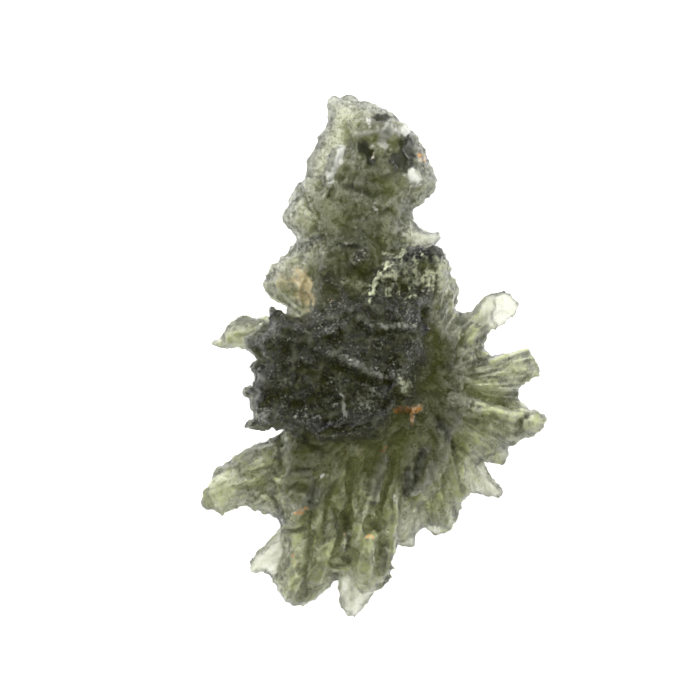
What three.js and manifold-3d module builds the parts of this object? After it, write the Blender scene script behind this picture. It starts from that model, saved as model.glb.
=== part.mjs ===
// A moldavite: one piece of natural green glass, etched into ragged sheets, ribs and spines.
// Units are millimetres. It lies on its back: +X is right, +Y runs to its narrow head, +Z is up,
// and z = 0 is the surface that it rests on.
//
// The stone is described as depths below its skin. Ragged sheets carry the outline, ribs run
// over and under them, and hollows and crevices are taken away. The skin is then traced on a
// lattice, thinned to flat facets, and its feet are cut level.
import * as THREE from 'three';
import { ImprovedNoise } from 'three/addons/math/ImprovedNoise.js';
import { MarchingCubes } from 'three/addons/objects/MarchingCubes.js';
import { mergeVertices } from 'three/addons/utils/BufferGeometryUtils.js';
import Module from 'manifold-3d';

const { clamp, smoothstep } = THREE.MathUtils;

// Driving sizes
const CELL = 0.3; // spacing of the lattice
const LATTICE = 134; // points along each side of the lattice
const LATTICE_MIDDLE = [0, 0, 6];
const GROUND = 0.9; // the level in the lists below that the stone rests on, which becomes z = 0
const FACETS = 9000; // what the skin is thinned to
const RIM = 0.22; // half the thickness of a sheet at its ragged edge
const EDGE_BIAS = 0.07; // what rounding takes off a ragged edge, given back
const SHEET_MELT = 0.7; // how softly sheets run into each other
const RIB_MELT = 0.55; // how softly ribs run into the sheets
const CUT_MELT = 0.35; // how softly a hollow's edge is rounded
const REACH = 2.2; // past this distance a form has no effect
const NEAR_SKIN = 1.5; // the depth that the relief is worked out to

// The point that the flutes fan out from, and how strongly they and the finer relief are etched
const FAN_CENTRE = [2.4, -2.2];
const FLUTES_PER_RADIAN = 5.2;
const FLUTE_DEPTH = 0.5;
const FLUTE_WANDER = 0.16; // how fast a flute changes outwards, and with height
const FLUTE_LEAN = 0.22;
const FLUTES_GROW = [1.5, 5]; // the distances from the centre where the flutes start and are full
const FLUTES_FADE = [7, 10]; // the heights up the stone between which the head's weaker flutes start
const FLUTES_LOST = 0.75; // how much weaker they are there
const ROUGH_DEPTH = 0.42;
const ROUGH_PER_MM = 0.45;
const GRAIN_DEPTH = 0.2;
const GRAIN_PER_MM = 1.4;
const HIGH = [6.5, 9]; // the levels between which the roughness grows, by this share
const HIGH_ROUGHER = 0.5;
const RIM_ETCHED = 0.25; // the share of the relief that a thin rim gets
const THICK = 1.6; // half the thickness that gets all of it

// Sheets. root and tip are [x, y, z] on the sheet's middle surface, above and below are its
// thickness on each side of that surface, and taper is how far in from the edge it gets there.
const sheets = [
  {
    name: 'head', root: [0, 9, 4.8], tip: [-1.5, 18.5, 4.1],
    above: 1.0, below: 1.0, taper: 1.6,
    outline: [
      [-3.2, 18.4], [-2.9, 18.75], [-2.5, 18.5], [-1.5, 18.6], [-0.8, 18.25], [0.2, 18.1],
      [0.9, 17.85], [1.4, 17.35], [2.1, 16.95], [2.8, 16.4], [3.25, 15.8], [3.6, 14.9],
      [4.15, 14.1], [4.3, 13.1], [5.0, 12.6], [4.85, 12.2], [4.5, 11.6], [3.85, 11.0], [3.3, 10.5],
      [2.85, 9.9], [2.75, 8.6], [1.5, 7.2], [-3.0, 7.2], [-4.8, 8.4], [-5.5, 8.5], [-6.1, 8.95],
      [-6.45, 9.5], [-6.8, 10.05], [-6.1, 10.7], [-6.0, 11.3], [-5.7, 12.0], [-5.2, 12.4],
      [-4.8, 13.0], [-4.7, 14.2], [-4.4, 14.7], [-4.1, 15.2], [-3.85, 15.9], [-3.5, 16.7],
      [-3.2, 17.6],
    ],
  },
  {
    name: 'head_core', root: [0, 8, 5.2], tip: [0.5, 16, 5.0],
    above: 2.1, below: 2.0, taper: 1.4,
    outline: [
      [-0.2, 17.6], [0.9, 17.2], [2.0, 16.4], [2.9, 15.4], [3.6, 14.2], [3.6, 13.0], [3.1, 11.6],
      [2.7, 10.2], [2.2, 8.6], [1.8, 7.0], [-3.2, 7.0], [-4.4, 9.2], [-5.0, 11.2], [-4.4, 12.3],
      [-2.8, 13.0], [-2.2, 14.0], [-2.0, 15.4], [-2.2, 16.4], [-1.2, 17.2],
    ],
  },
  {
    name: 'neck_spine', root: [2, 8.2, 5.8], tip: [4.9, 8.6, 5.0],
    above: 0.9, below: 0.9, taper: 1.0,
    outline: [
      [0.6, 9.6], [2.7, 9.5], [3.3, 9.0], [4.1, 8.8], [5.0, 8.7], [4.95, 8.25], [4.3, 7.7],
      [3.0, 7.4], [0.8, 7.2],
    ],
  },
  {
    name: 'body', root: [-1, 9, 5.0], tip: [0, 0, 4.9],
    above: 3.2, below: 3.1, taper: 2.0,
    outline: [
      [-4.9, 8.5], [-2.0, 9.6], [0.6, 9.2], [1.4, 7.6], [2.0, 5.6], [4.2, 5.2], [5.2, 3.4],
      [5.8, 0.5], [5.6, -3.0], [3.6, -6.4], [0.0, -7.6], [-4.0, -7.0], [-6.2, -4.4], [-6.4, -1.0],
      [-6.0, 2.0], [-5.4, 4.0], [-5.2, 6.4],
    ],
  },
  {
    name: 'shoulder', root: [-4.6, 5.8, 4.6], tip: [-7.7, 5.0, 3.8],
    above: 1.6, below: 1.6, taper: 1.1,
    outline: [
      [-4.0, 2.4], [-5.9, 2.6], [-6.0, 3.4], [-6.4, 3.5], [-6.95, 3.85], [-7.4, 4.35], [-7.75, 4.9],
      [-7.75, 5.3], [-7.45, 5.9], [-7.0, 6.5], [-6.6, 7.0], [-6.1, 7.4], [-5.6, 7.85], [-4.9, 8.0],
      [-3.4, 8.2], [-2.6, 5.0],
    ],
  },
  {
    name: 'left_spine', root: [-7.0, 1.4, 4.6], tip: [-11.4, 0.8, 3.4],
    above: 1.5, below: 1.3, taper: 1.1,
    outline: [
      [-5.0, -0.6], [-8.2, 0.2], [-9.2, 0.3], [-10.2, 0.4], [-11.1, 0.45], [-11.5, 0.7],
      [-11.0, 1.2], [-10.7, 1.8], [-10.3, 2.3], [-9.6, 2.65], [-8.9, 2.8], [-8.3, 2.6], [-7.2, 2.7],
      [-5.0, 3.0],
    ],
  },
  {
    name: 'lump', root: [-1, 0, 7.9], tip: [-9, -3, 7.1],
    above: 3.1, below: 3.7, taper: 1.0,
    outline: [
      [-7.25, 3.4], [-6.9, 3.35], [-6.6, 2.8], [-6.2, 3.0], [-5.4, 2.7], [-4.0, 2.9], [-3.0, 3.2],
      [-2.0, 3.8], [-0.5, 4.3], [1.0, 4.3], [2.2, 4.4], [3.6, 4.5], [4.1, 3.8], [3.6, 3.0],
      [3.4, 2.2], [3.8, 1.4], [3.7, 0.7], [4.0, -0.2], [3.3, -0.4], [2.9, -1.0], [2.8, -2.1],
      [2.4, -3.1], [1.9, -2.7], [1.5, -2.6], [1.4, -3.3], [1.1, -3.8], [1.3, -4.4], [0.8, -5.2],
      [-0.4, -5.7], [-1.4, -6.1], [-2.6, -6.1], [-4.0, -6.3], [-5.0, -5.7], [-6.3, -5.45],
      [-7.0, -5.4], [-9.0, -5.3], [-9.1, -4.8], [-8.45, -4.5], [-8.4, -4.2], [-8.7, -3.6],
      [-8.8, -3.1], [-9.3, -2.75], [-9.1, -2.4], [-8.5, -2.3], [-8.3, -1.9], [-8.4, -1.4],
      [-9.05, -0.95], [-8.6, -0.6], [-8.0, -0.6], [-8.1, -0.2], [-8.4, 0.1], [-8.8, 0.3],
      [-9.0, 0.8], [-9.2, 1.15], [-8.8, 1.4], [-8.2, 1.7], [-7.5, 2.3], [-7.3, 2.8],
    ],
  },
  {
    name: 'crest', root: [1, 5, 6.8], tip: [5, 6.4, 6.0],
    above: 1.7, below: 1.9, taper: 1.2,
    outline: [
      [0.3, 4.0], [0.2, 5.4], [0.9, 6.9], [2.1, 7.0], [2.4, 7.6], [3.2, 8.0], [4.1, 7.6],
      [4.7, 7.9], [5.3, 7.2], [5.65, 6.5], [5.65, 5.4], [5.3, 4.6], [4.9, 3.6], [4.2, 2.9],
      [3.0, 2.6], [1.0, 3.0],
    ],
  },
  {
    name: 'right_edge', root: [4.6, 3.4, 5.2], tip: [6.4, 3.6, 4.4],
    above: 1.4, below: 1.4, taper: 1.2,
    outline: [
      [3.6, 6.2], [5.3, 5.6], [5.6, 5.3], [6.05, 5.5], [6.25, 5.2], [6.1, 4.9], [6.45, 4.5],
      [6.2, 4.0], [6.2, 3.4], [6.4, 3.0], [6.5, 2.6], [6.7, 2.2], [6.6, 0.2], [3.4, -0.6],
      [3.0, 3.0],
    ],
  },
  {
    name: 'fan_root', root: [5.0, 1.0, 4.8], tip: [3.4, -9.6, 4.3],
    above: 3.0, below: 2.8, taper: 1.4,
    outline: [
      [3.0, 3.2], [5.2, 3.0], [6.4, 2.2], [7.0, 1.0], [7.2, -0.8], [7.4, -3.0], [7.2, -5.0],
      [6.4, -7.0], [5.4, -8.8], [4.4, -10.4], [2.6, -11.2], [1.4, -12.2], [0.6, -10.0], [1.0, -6.0],
      [2.6, -2.0],
    ],
  },
  {
    name: 'fan', root: [4.6, -3.0, 4.6], tip: [12, -3.0, 3.9],
    above: 1.9, below: 1.8, taper: 2.2,
    outline: [
      [3.0, 1.8], [6.5, 2.6], [6.7, 2.5], [7.1, 3.05], [7.7, 2.9], [8.1, 2.2], [8.2, 1.75],
      [7.8, 1.4], [7.75, 0.9], [7.85, 0.25], [8.2, -0.15], [8.8, -0.15], [9.2, 0.2], [9.6, 0.25],
      [10.3, 0.4], [10.9, 0.6], [11.8, 0.85], [11.3, 0.25], [11.5, -0.2], [11.8, -0.7],
      [12.0, -1.35], [11.9, -1.6], [11.4, -1.8], [10.85, -2.15], [10.6, -2.6], [10.7, -3.1],
      [11.1, -3.5], [11.5, -3.9], [12.0, -4.15], [12.35, -4.7], [12.05, -5.05], [11.7, -5.7],
      [11.3, -6.1], [10.5, -6.4], [9.8, -6.6], [9.5, -6.9], [9.55, -7.3], [9.3, -7.95],
      [8.7, -7.75], [7.9, -7.7], [6.6, -8.4], [3.4, -7.0], [2.0, -3.0],
    ],
  },
  {
    name: 'knob', root: [7.0, 2.4, 4.6], tip: [10.0, 4.0, 4.4],
    above: 0.4, below: 0.35, taper: 0.8,
    outline: [
      [6.5, 1.6], [6.7, 2.5], [7.3, 2.9], [7.6, 3.7], [8.1, 4.35], [8.8, 4.4], [9.4, 4.65],
      [9.95, 4.5], [10.3, 4.05], [10.6, 3.5], [10.3, 2.8], [9.6, 2.25], [8.9, 1.95], [8.3, 1.75],
      [7.5, 1.0],
    ],
  },
  {
    name: 'blade', root: [6.4, -7.0, 3.4], tip: [9.3, -9.8, 2.6],
    above: 0.65, below: 0.65, taper: 1.0,
    outline: [
      [5.4, -6.0], [7.3, -7.0], [7.95, -7.8], [8.25, -8.3], [8.65, -8.8], [9.15, -9.35],
      [9.55, -9.8], [9.2, -10.35], [8.2, -10.2], [7.6, -10.0], [6.9, -9.9], [5.6, -9.2],
    ],
  },
  {
    name: 'flap', root: [4.0, -7.5, 3.9], tip: [5.0, -12.5, 2.8],
    above: 1.4, below: 1.3, taper: 2.4,
    outline: [
      [1.6, -6.6], [4.4, -6.0], [6.2, -7.4], [6.6, -8.8], [7.1, -9.7], [6.5, -9.85], [6.35, -10.3],
      [6.55, -10.8], [6.2, -11.4], [6.0, -11.95], [5.7, -12.45], [5.0, -12.8], [4.6, -13.05],
      [3.75, -12.55], [3.2, -12.9], [3.1, -13.8], [2.5, -13.75], [1.4, -13.6], [0.6, -11.0],
    ],
  },
  {
    name: 'skirt', root: [-1.0, -6.5, 4.6], tip: [-2.5, -17.5, 3.4],
    above: 2.2, below: 2.0, taper: 1.7,
    outline: [
      [-5.5, -5.0], [-6.6, -8.0], [-6.9, -11.0], [-6.95, -11.8], [-6.6, -12.3], [-5.9, -12.6],
      [-5.5, -13.3], [-5.7, -14.6], [-6.4, -15.4], [-7.0, -15.9], [-6.95, -16.3], [-6.7, -16.8],
      [-6.3, -17.5], [-5.6, -18.1], [-4.95, -18.35], [-4.3, -17.85], [-3.6, -17.3], [-2.95, -16.6],
      [-2.5, -16.1], [-1.6, -15.6], [-1.0, -16.7], [-0.2, -17.0], [0.4, -17.0], [1.0, -16.4],
      [1.6, -16.05], [1.3, -15.6], [2.1, -15.4], [1.5, -15.0], [1.4, -14.5], [1.4, -13.9],
      [2.0, -13.4], [3.0, -10.0], [3.6, -6.0], [0.0, -4.5],
    ],
  },
  {
    name: 'hem', root: [-5.4, -13.6, 3.8], tip: [-8.4, -15.2, 3.2],
    above: 0.4, below: 0.35, taper: 0.9,
    outline: [
      [-5.0, -11.8], [-6.45, -12.8], [-6.7, -13.1], [-7.4, -13.4], [-7.9, -13.9], [-8.2, -14.4],
      [-8.7, -15.1], [-8.7, -15.6], [-7.7, -15.6], [-7.05, -15.85], [-6.4, -16.2], [-4.8, -15.6],
    ],
  },
  {
    name: 'bottom_tip', root: [-1.2, -15.0, 2.6], tip: [-1.3, -18.7, 1.9],
    above: 0.42, below: 0.38, taper: 0.9,
    outline: [
      [-2.5, -14.0], [-2.35, -16.2], [-2.4, -17.0], [-2.35, -17.9], [-1.95, -18.6], [-1.3, -18.95],
      [-0.6, -18.4], [-0.2, -17.75], [0.4, -17.1], [1.0, -16.3], [0.4, -14.0],
    ],
  },
  {
    name: 'paddle_root', root: [-3.0, -6.0, 4.6], tip: [-5.6, -10.6, 4.3],
    above: 2.9, below: 2.5, taper: 1.0,
    outline: [
      [-2.0, -5.5], [-4.4, -5.2], [-6.4, -5.5], [-6.9, -6.4], [-7.1, -7.6], [-6.8, -8.4],
      [-7.2, -9.4], [-7.0, -10.4], [-6.4, -11.2], [-4.0, -12.0], [-2.0, -9.0],
    ],
  },
  {
    name: 'paddle', root: [-5.0, -7.4, 4.4], tip: [-12.0, -10.0, 3.4],
    above: 1.1, below: 0.95, taper: 1.2,
    outline: [
      [-3.5, -5.4], [-6.2, -5.2], [-6.8, -5.6], [-7.6, -5.9], [-8.3, -6.15], [-8.9, -6.6],
      [-9.5, -6.95], [-10.1, -7.4], [-10.5, -7.6], [-11.2, -7.95], [-11.8, -8.7], [-12.2, -9.5],
      [-12.3, -10.3], [-12.1, -11.25], [-11.3, -11.3], [-10.8, -11.7], [-10.2, -11.25],
      [-9.5, -10.95], [-8.8, -10.8], [-8.6, -11.4], [-8.0, -11.1], [-7.6, -11.4], [-7.0, -11.2],
      [-5.4, -12.0], [-3.0, -9.5],
    ],
  },
];

// Ribs: lines of [x, y, z, radius] along the middle of each, and flat, their height over width.
const ribs = [
  // over the skirt, from the lump down to the ragged hem
  {
    name: 'long_finger', flat: 0.9,
    line: [[0.9, -6.4, 5.9, 0.9], [0.1, -8.8, 6.2, 1.1], [-0.5, -11.6, 5.4, 0.9]],
  },
  {
    name: 'second_finger', flat: 0.9,
    line: [
      [3.3, -5.0, 6.2, 0.9], [2.4, -8.0, 5.9, 1.2],
      [1.7, -10.6, 5.2, 0.9], [1.3, -14.4, 4.0, 0.5],
    ],
  },
  {
    name: 'stump', flat: 0.9,
    line: [[-0.3, -12.6, 4.6, 1.0], [-0.2, -14.4, 4.4, 1.2], [-0.3, -16.2, 3.8, 0.8]],
  },
  {
    name: 'pale_ridge', flat: 0.9,
    line: [
      [-2.2, -7.6, 5.6, 0.7], [-2.8, -10.4, 5.4, 0.8],
      [-3.5, -13.4, 4.9, 0.85], [-4.4, -16.8, 4.0, 0.6],
    ],
  },
  { name: 'short_ridge', flat: 1.0, line: [[-1.9, -11.0, 5.3, 0.55], [-1.8, -14.2, 4.7, 0.5]] },
  {
    name: 'corner_lobe', flat: 0.8,
    line: [[-5.4, -10.4, 5.0, 0.9], [-5.3, -13.6, 4.6, 0.9], [-5.4, -16.5, 4.2, 1.35]],
  },
  { name: 'hem_spike', flat: 0.7, line: [[-6.4, -13.0, 3.9, 0.45], [-8.3, -15.0, 3.3, 0.3]] },
  {
    name: 'paddle_ridge', flat: 0.7,
    line: [
      [-3.6, -7.0, 6.2, 0.7], [-6.8, -7.5, 5.0, 0.5],
      [-10.2, -8.9, 4.2, 0.75], [-11.6, -9.8, 3.9, 0.6],
    ],
  },
  {
    name: 'paddle_lower_ridge', flat: 0.8,
    line: [[-3.4, -8.9, 5.4, 0.5], [-6.4, -9.2, 4.8, 0.7], [-8.2, -10.2, 4.2, 0.5]],
  },
  // over the right fan
  {
    name: 'knob_rib', flat: 0.9,
    line: [[5.6, -2.0, 5.8, 0.9], [6.6, 0.4, 5.4, 1.0], [7.3, 2.0, 4.9, 0.6], [8.2, 3.6, 4.7, 0.35]],
  },
  {
    name: 'crook', flat: 0.9,
    line: [[6.9, 1.6, 4.8, 0.7], [7.1, 0.2, 4.8, 1.0], [8.3, -1.0, 4.8, 0.8]],
  },
  {
    name: 'upper_rib', flat: 0.9,
    line: [[5.4, -2.0, 5.2, 0.8], [8.0, -1.1, 4.9, 0.8], [11.0, -0.3, 4.2, 0.45]],
  },
  { name: 'upper_rib_branch', flat: 0.9, line: [[7.6, -1.8, 4.9, 0.7], [11.4, -1.4, 4.0, 0.4]] },
  {
    name: 'middle_rib', flat: 0.9,
    line: [[5.4, -3.2, 5.4, 0.8], [8.4, -4.3, 5.0, 0.9], [11.6, -4.8, 4.3, 0.75]],
  },
  {
    name: 'lower_rib', flat: 0.9,
    line: [[4.8, -4.4, 5.8, 0.8], [7.0, -6.0, 5.2, 1.05], [9.0, -7.4, 4.2, 0.55]],
  },
  { name: 'fan_hem', flat: 0.8, line: [[8.2, -5.5, 4.7, 0.6], [10.6, -5.6, 4.2, 0.5]] },
  {
    name: 'grey_rib', flat: 1.0,
    line: [[4.3, -4.6, 6.2, 0.8], [5.3, -7.0, 5.4, 0.9], [6.0, -9.6, 4.2, 1.0]],
  },
  { name: 'flap_rib', flat: 0.8, line: [[3.6, -7.8, 4.8, 0.6], [5.2, -11.6, 3.4, 0.5]] },
  // over the lump and the crest
  {
    name: 'lump_crest', flat: 0.9,
    line: [[-3.8, 0.7, 10.4, 0.8], [-1.2, -0.4, 11.0, 0.85], [1.2, -1.5, 10.3, 0.7]],
  },
  {
    name: 'lump_upper_ridge', flat: 0.9,
    line: [[-1.6, 1.4, 10.2, 0.9], [0.6, 2.4, 10.2, 0.7], [3.2, 2.1, 9.4, 0.6]],
  },
  { name: 'lump_lower_dome', flat: 0.9, line: [[-1.6, -3.0, 9.6, 1.3], [0.2, -3.6, 9.4, 1.1]] },
  {
    name: 'lump_left_ridge', flat: 0.9,
    line: [[-4.6, -0.2, 10.0, 0.9], [-6.4, -1.6, 9.6, 0.8], [-8.3, -2.6, 8.4, 0.5]],
  },
  {
    name: 'lump_low_ridge', flat: 0.9,
    line: [[-3.4, -4.4, 9.2, 0.8], [-6.2, -4.2, 9.0, 0.7], [-8.5, -4.9, 8.0, 0.4]],
  },
  {
    name: 'lump_horn', flat: 1.0,
    line: [[-5.4, 1.4, 9.2, 0.8], [-6.5, 2.2, 8.8, 0.6], [-7.0, 2.8, 8.4, 0.35]],
  },
  { name: 'lump_side_horn', flat: 1.0, line: [[-6.0, 0.4, 9.2, 0.7], [-8.8, 1.0, 8.2, 0.45]] },
  {
    name: 'crest_arch', flat: 0.9,
    line: [[1.2, 5.8, 8.6, 0.6], [2.8, 7.0, 8.6, 0.7], [4.6, 6.9, 8.0, 0.6], [4.9, 5.2, 7.4, 0.5]],
  },
  { name: 'crest_spur', flat: 1.0, line: [[0.4, 4.2, 9.0, 0.6], [1.2, 6.4, 8.4, 0.4]] },
  // over the head
  {
    name: 'head_brow', flat: 0.9,
    line: [[-1.4, 16.4, 6.2, 0.5], [0.6, 16.1, 7.0, 0.6], [2.3, 15.4, 6.6, 0.5]],
  },
  { name: 'head_cheek', flat: 0.9, line: [[0.6, 12.9, 7.2, 0.9], [3.0, 12.4, 6.4, 0.7]] },
  { name: 'head_ridge', flat: 0.9, line: [[-2.4, 14.6, 6.6, 0.5], [-3.1, 12.6, 6.6, 0.5]] },
  {
    name: 'head_boss', flat: 0.9,
    line: [
      [-1.4, 13.2, 6.2, 0.9], [-1.2, 11.8, 6.9, 0.9],
      [-0.6, 9.4, 6.9, 1.0], [-0.8, 6.6, 7.6, 1.1],
    ],
  },
  { name: 'head_left_boss', flat: 0.8, line: [[-4.2, 12.0, 5.8, 0.8], [-4.6, 9.8, 5.4, 0.9]] },
  // under the stone, where the lowest bellies of the ridges are what it rests on
  {
    name: 'keel', flat: 0.8,
    line: [
      [-0.8, 15.4, 2.9, 0.5], [-0.8, 12.2, 1.65, 1.2], [-0.9, 6.0, 2.3, 1.1],
      [-0.6, -2.0, 2.1, 1.4], [-1.4, -8.0, 2.3, 1.1],
    ],
  },
  {
    name: 'keel_low', flat: 0.8,
    line: [[-1.4, -7.0, 2.3, 1.0], [-3.2, -12.6, 1.45, 1.1], [-4.6, -16.0, 2.6, 0.6]],
  },
  {
    name: 'keel_left', flat: 0.8,
    line: [
      [-1.6, -1.0, 2.4, 1.1], [-4.8, -6.2, 2.3, 1.0],
      [-7.2, -8.4, 1.45, 1.0], [-9.8, -9.4, 2.8, 0.5],
    ],
  },
  {
    name: 'keel_right', flat: 0.8,
    line: [
      [0.4, -1.0, 2.4, 1.1], [5.0, -2.0, 2.3, 1.0],
      [7.8, -2.8, 1.45, 1.0], [10.6, -3.8, 3.0, 0.5],
    ],
  },
  {
    name: 'keel_low_right', flat: 0.8,
    line: [
      [0.4, -4.0, 2.4, 1.0], [3.2, -7.2, 2.1, 0.9],
      [4.6, -9.6, 1.35, 0.9], [5.2, -11.4, 2.3, 0.5],
    ],
  },
  {
    name: 'keel_shoulder', flat: 0.8,
    line: [[-1.0, 3.0, 2.4, 0.9], [-4.2, 4.6, 1.35, 0.9], [-6.6, 5.4, 2.8, 0.4]],
  },
  {
    name: 'keel_upper_left', flat: 0.8,
    line: [[-2.0, 0.0, 2.6, 1.0], [-6.4, 0.8, 2.9, 0.8], [-9.4, 1.3, 3.4, 0.5]],
  },
  {
    name: 'keel_upper_right', flat: 0.8,
    line: [[0.6, 2.6, 2.4, 1.0], [4.0, 4.6, 2.9, 0.9], [5.6, 5.2, 3.8, 0.5]],
  },
  {
    name: 'keel_knob', flat: 0.8,
    line: [[4.4, -1.4, 2.6, 0.8], [6.8, 0.8, 3.6, 0.6], [7.6, 2.2, 4.2, 0.3]],
  },
];

// Hollows and crevices: lines of [x, y, z, radius] that are taken away.
const cuts = [
  // the dark hollows of the head and the cleft below its brow
  { flat: 1, line: [[0.3, 17.0, 6.9, 0.4], [1.0, 16.8, 6.9, 0.4]] },
  { flat: 1, line: [[-1.1, 15.0, 7.6, 0.5], [0.0, 14.4, 7.4, 0.6]] },
  { flat: 1, line: [[1.9, 14.8, 7.4, 0.6], [2.2, 13.6, 7.3, 0.6]] },
  { flat: 1, line: [[-2.2, 12.0, 8.0, 0.5], [-0.4, 11.4, 8.2, 0.5]] },
  { flat: 1, line: [[2.0, 11.4, 7.6, 0.4], [0.9, 10.3, 7.8, 0.5]] },
  { flat: 1, line: [[-5.2, 11.8, 6.4, 0.35], [-4.0, 10.2, 6.8, 0.4]] },
  // the groove between head and body
  { flat: 1, line: [[-3.6, 8.5, 8.2, 0.5], [-2.4, 8.0, 8.6, 0.5], [0.6, 8.0, 8.6, 0.5]] },
  // clefts of the body above the lump
  { flat: 1, line: [[-0.8, 5.9, 9.0, 0.5], [0.6, 6.6, 9.0, 0.5]] },
  { flat: 1, line: [[-4.2, 7.2, 7.6, 0.4], [-4.4, 3.4, 7.8, 0.5]] },
  // striations of the crest
  { flat: 1.4, line: [[1.9, 6.6, 9.4, 0.28], [2.2, 4.6, 9.6, 0.3]] },
  { flat: 1.4, line: [[3.1, 6.9, 9.4, 0.28], [3.4, 5.2, 9.2, 0.3]] },
  { flat: 1.4, line: [[4.0, 6.8, 9.0, 0.28], [4.2, 5.0, 8.8, 0.3]] },
  // clefts of the lump
  { flat: 1.2, line: [[-3.6, -0.6, 11.4, 0.45], [-0.6, -1.9, 11.4, 0.5]] },
  { flat: 1.2, line: [[-1.0, 1.0, 11.8, 0.45], [3.4, 0.6, 10.8, 0.5]] },
  { flat: 1.2, line: [[-3.2, -2.2, 11.2, 0.6], [-4.2, -3.6, 10.8, 0.5]] },
  { flat: 1.2, line: [[-6.2, -0.1, 10.6, 0.45], [-8.2, -0.1, 9.4, 0.4]] },
  { flat: 1.2, line: [[-6.0, -3.1, 10.6, 0.45], [-8.8, -3.7, 9.2, 0.4]] },
  { flat: 1.2, line: [[-1.4, 2.7, 10.8, 0.4], [-4.4, 2.0, 10.6, 0.5]] },
  { flat: 1.2, line: [[-0.4, -5.2, 9.8, 0.4], [-4.6, -5.2, 9.8, 0.4]] },
  // grooves between the fingers of the skirt
  { flat: 1.3, line: [[-1.5, -7.4, 6.9, 0.4], [-1.6, -10.6, 6.6, 0.4]] },
  { flat: 1.3, line: [[1.7, -7.2, 6.8, 0.45], [0.7, -11.4, 6.2, 0.45]] },
  { flat: 1.3, line: [[0.0, -12.0, 6.0, 0.5], [0.5, -12.2, 5.8, 0.4]] },
  { flat: 1.3, line: [[-4.2, -8.2, 6.4, 0.4], [-4.5, -13.0, 5.8, 0.4]] },
  { flat: 1.3, line: [[-1.2, -14.0, 5.6, 0.5], [-2.2, -14.8, 5.0, 0.6]] },
  { flat: 1.3, line: [[-2.6, -11.0, 6.2, 0.3], [-2.6, -14.0, 5.6, 0.35]] },
  { flat: 1.3, line: [[-6.6, -8.4, 6.0, 0.3], [-4.6, -8.3, 6.4, 0.35]] },
  { flat: 1.3, line: [[3.6, -7.0, 6.6, 0.5], [2.6, -11.6, 5.2, 0.4]] },
  // grooves between the ribs of the fan
  { flat: 1.3, line: [[5.0, -4.6, 6.6, 0.4], [6.4, -7.4, 5.6, 0.4]] },
  { flat: 1.3, line: [[6.6, -2.4, 6.2, 0.35], [10.2, -3.6, 5.0, 0.45]] },
  { flat: 1.3, line: [[6.0, -4.4, 6.3, 0.3], [9.4, -6.2, 5.4, 0.35]] },
  { flat: 1.3, line: [[4.6, 1.8, 8.4, 0.6], [4.6, -0.8, 8.2, 0.6], [3.4, -2.2, 8.2, 0.5]] },
  // the two pits at the end of the middle rib
  { flat: 1, line: [[10.55, -4.9, 5.1, 0.36], [10.6, -4.9, 4.7, 0.3]] },
  { flat: 1, line: [[11.1, -4.4, 4.9, 0.26], [11.15, -4.4, 4.6, 0.2]] },
  // hollows of the back
  { flat: 0.8, line: [[2.6, 4.6, 1.6, 1.1], [2.8, 7.4, 2.6, 0.8]] },
  { flat: 0.8, line: [[-3.6, 7.6, 1.9, 0.9], [-3.4, 3.0, 1.8, 0.9]] },
  { flat: 0.8, line: [[3.0, -4.0, 1.4, 0.8], [7.6, -5.4, 2.2, 0.6]] },
  { flat: 0.8, line: [[-2.6, -5.0, 1.6, 0.8], [-7.0, -7.4, 2.4, 0.5]] },
  { flat: 0.8, line: [[1.4, -9.0, 2.0, 0.7], [0.6, -14.0, 2.0, 0.5]] },
  { flat: 0.8, line: [[-4.0, -9.6, 2.2, 0.6], [-5.4, -13.6, 2.0, 0.5]] },
];

// The smaller of two depths, or with a minus on each the larger, with the corner rounded
function meltedMin(a, b, melt) {
  const near = Math.max(melt - Math.abs(a - b), 0);
  return Math.min(a, b) - (near * near) / (4 * melt);
}
function meltedMax(a, b, melt) {
  return -meltedMin(-a, -b, melt);
}

// How far a point in plan lies inside an outline, or outside it as a minus
function inset(outline, x, y) {
  let inside = false;
  let nearest = Infinity;
  for (let i = 0, j = outline.length - 1; i < outline.length; j = i++) {
    const [ax, ay] = outline[i];
    const [bx, by] = outline[j];
    if (ay > y !== by > y && x < ((bx - ax) * (y - ay)) / (by - ay) + ax) inside = !inside;
    const [ex, ey] = [bx - ax, by - ay];
    const t = clamp(((x - ax) * ex + (y - ay) * ey) / (ex * ex + ey * ey), 0, 1);
    nearest = Math.min(nearest, Math.hypot(x - ax - t * ex, y - ay - t * ey));
  }
  return inside ? nearest : -nearest;
}

// A sheet's own values over one point in plan, so that they are worked out once for all heights
function sheetOver({ outline, root, tip, above, below, taper }, x, y) {
  const edge = inset(outline, x, y) + EDGE_BIAS;
  if (edge < -REACH) return null;
  const [ex, ey] = [tip[0] - root[0], tip[1] - root[1]];
  const along = clamp(((x - root[0]) * ex + (y - root[1]) * ey) / (ex * ex + ey * ey), 0, 1);
  const inward = clamp(edge / taper, 0, 1);
  const full = inward * inward * (3 - 2 * inward);
  return {
    edge,
    middle: root[2] + (tip[2] - root[2]) * along,
    above: RIM + (above - RIM) * full,
    below: RIM + (below - RIM) * full,
  };
}
function depthInSheet({ edge, middle, above, below }, z) {
  const across = z > middle ? above - (z - middle) : below - (middle - z);
  return meltedMin(edge, across, 2 * RIM);
}

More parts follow.
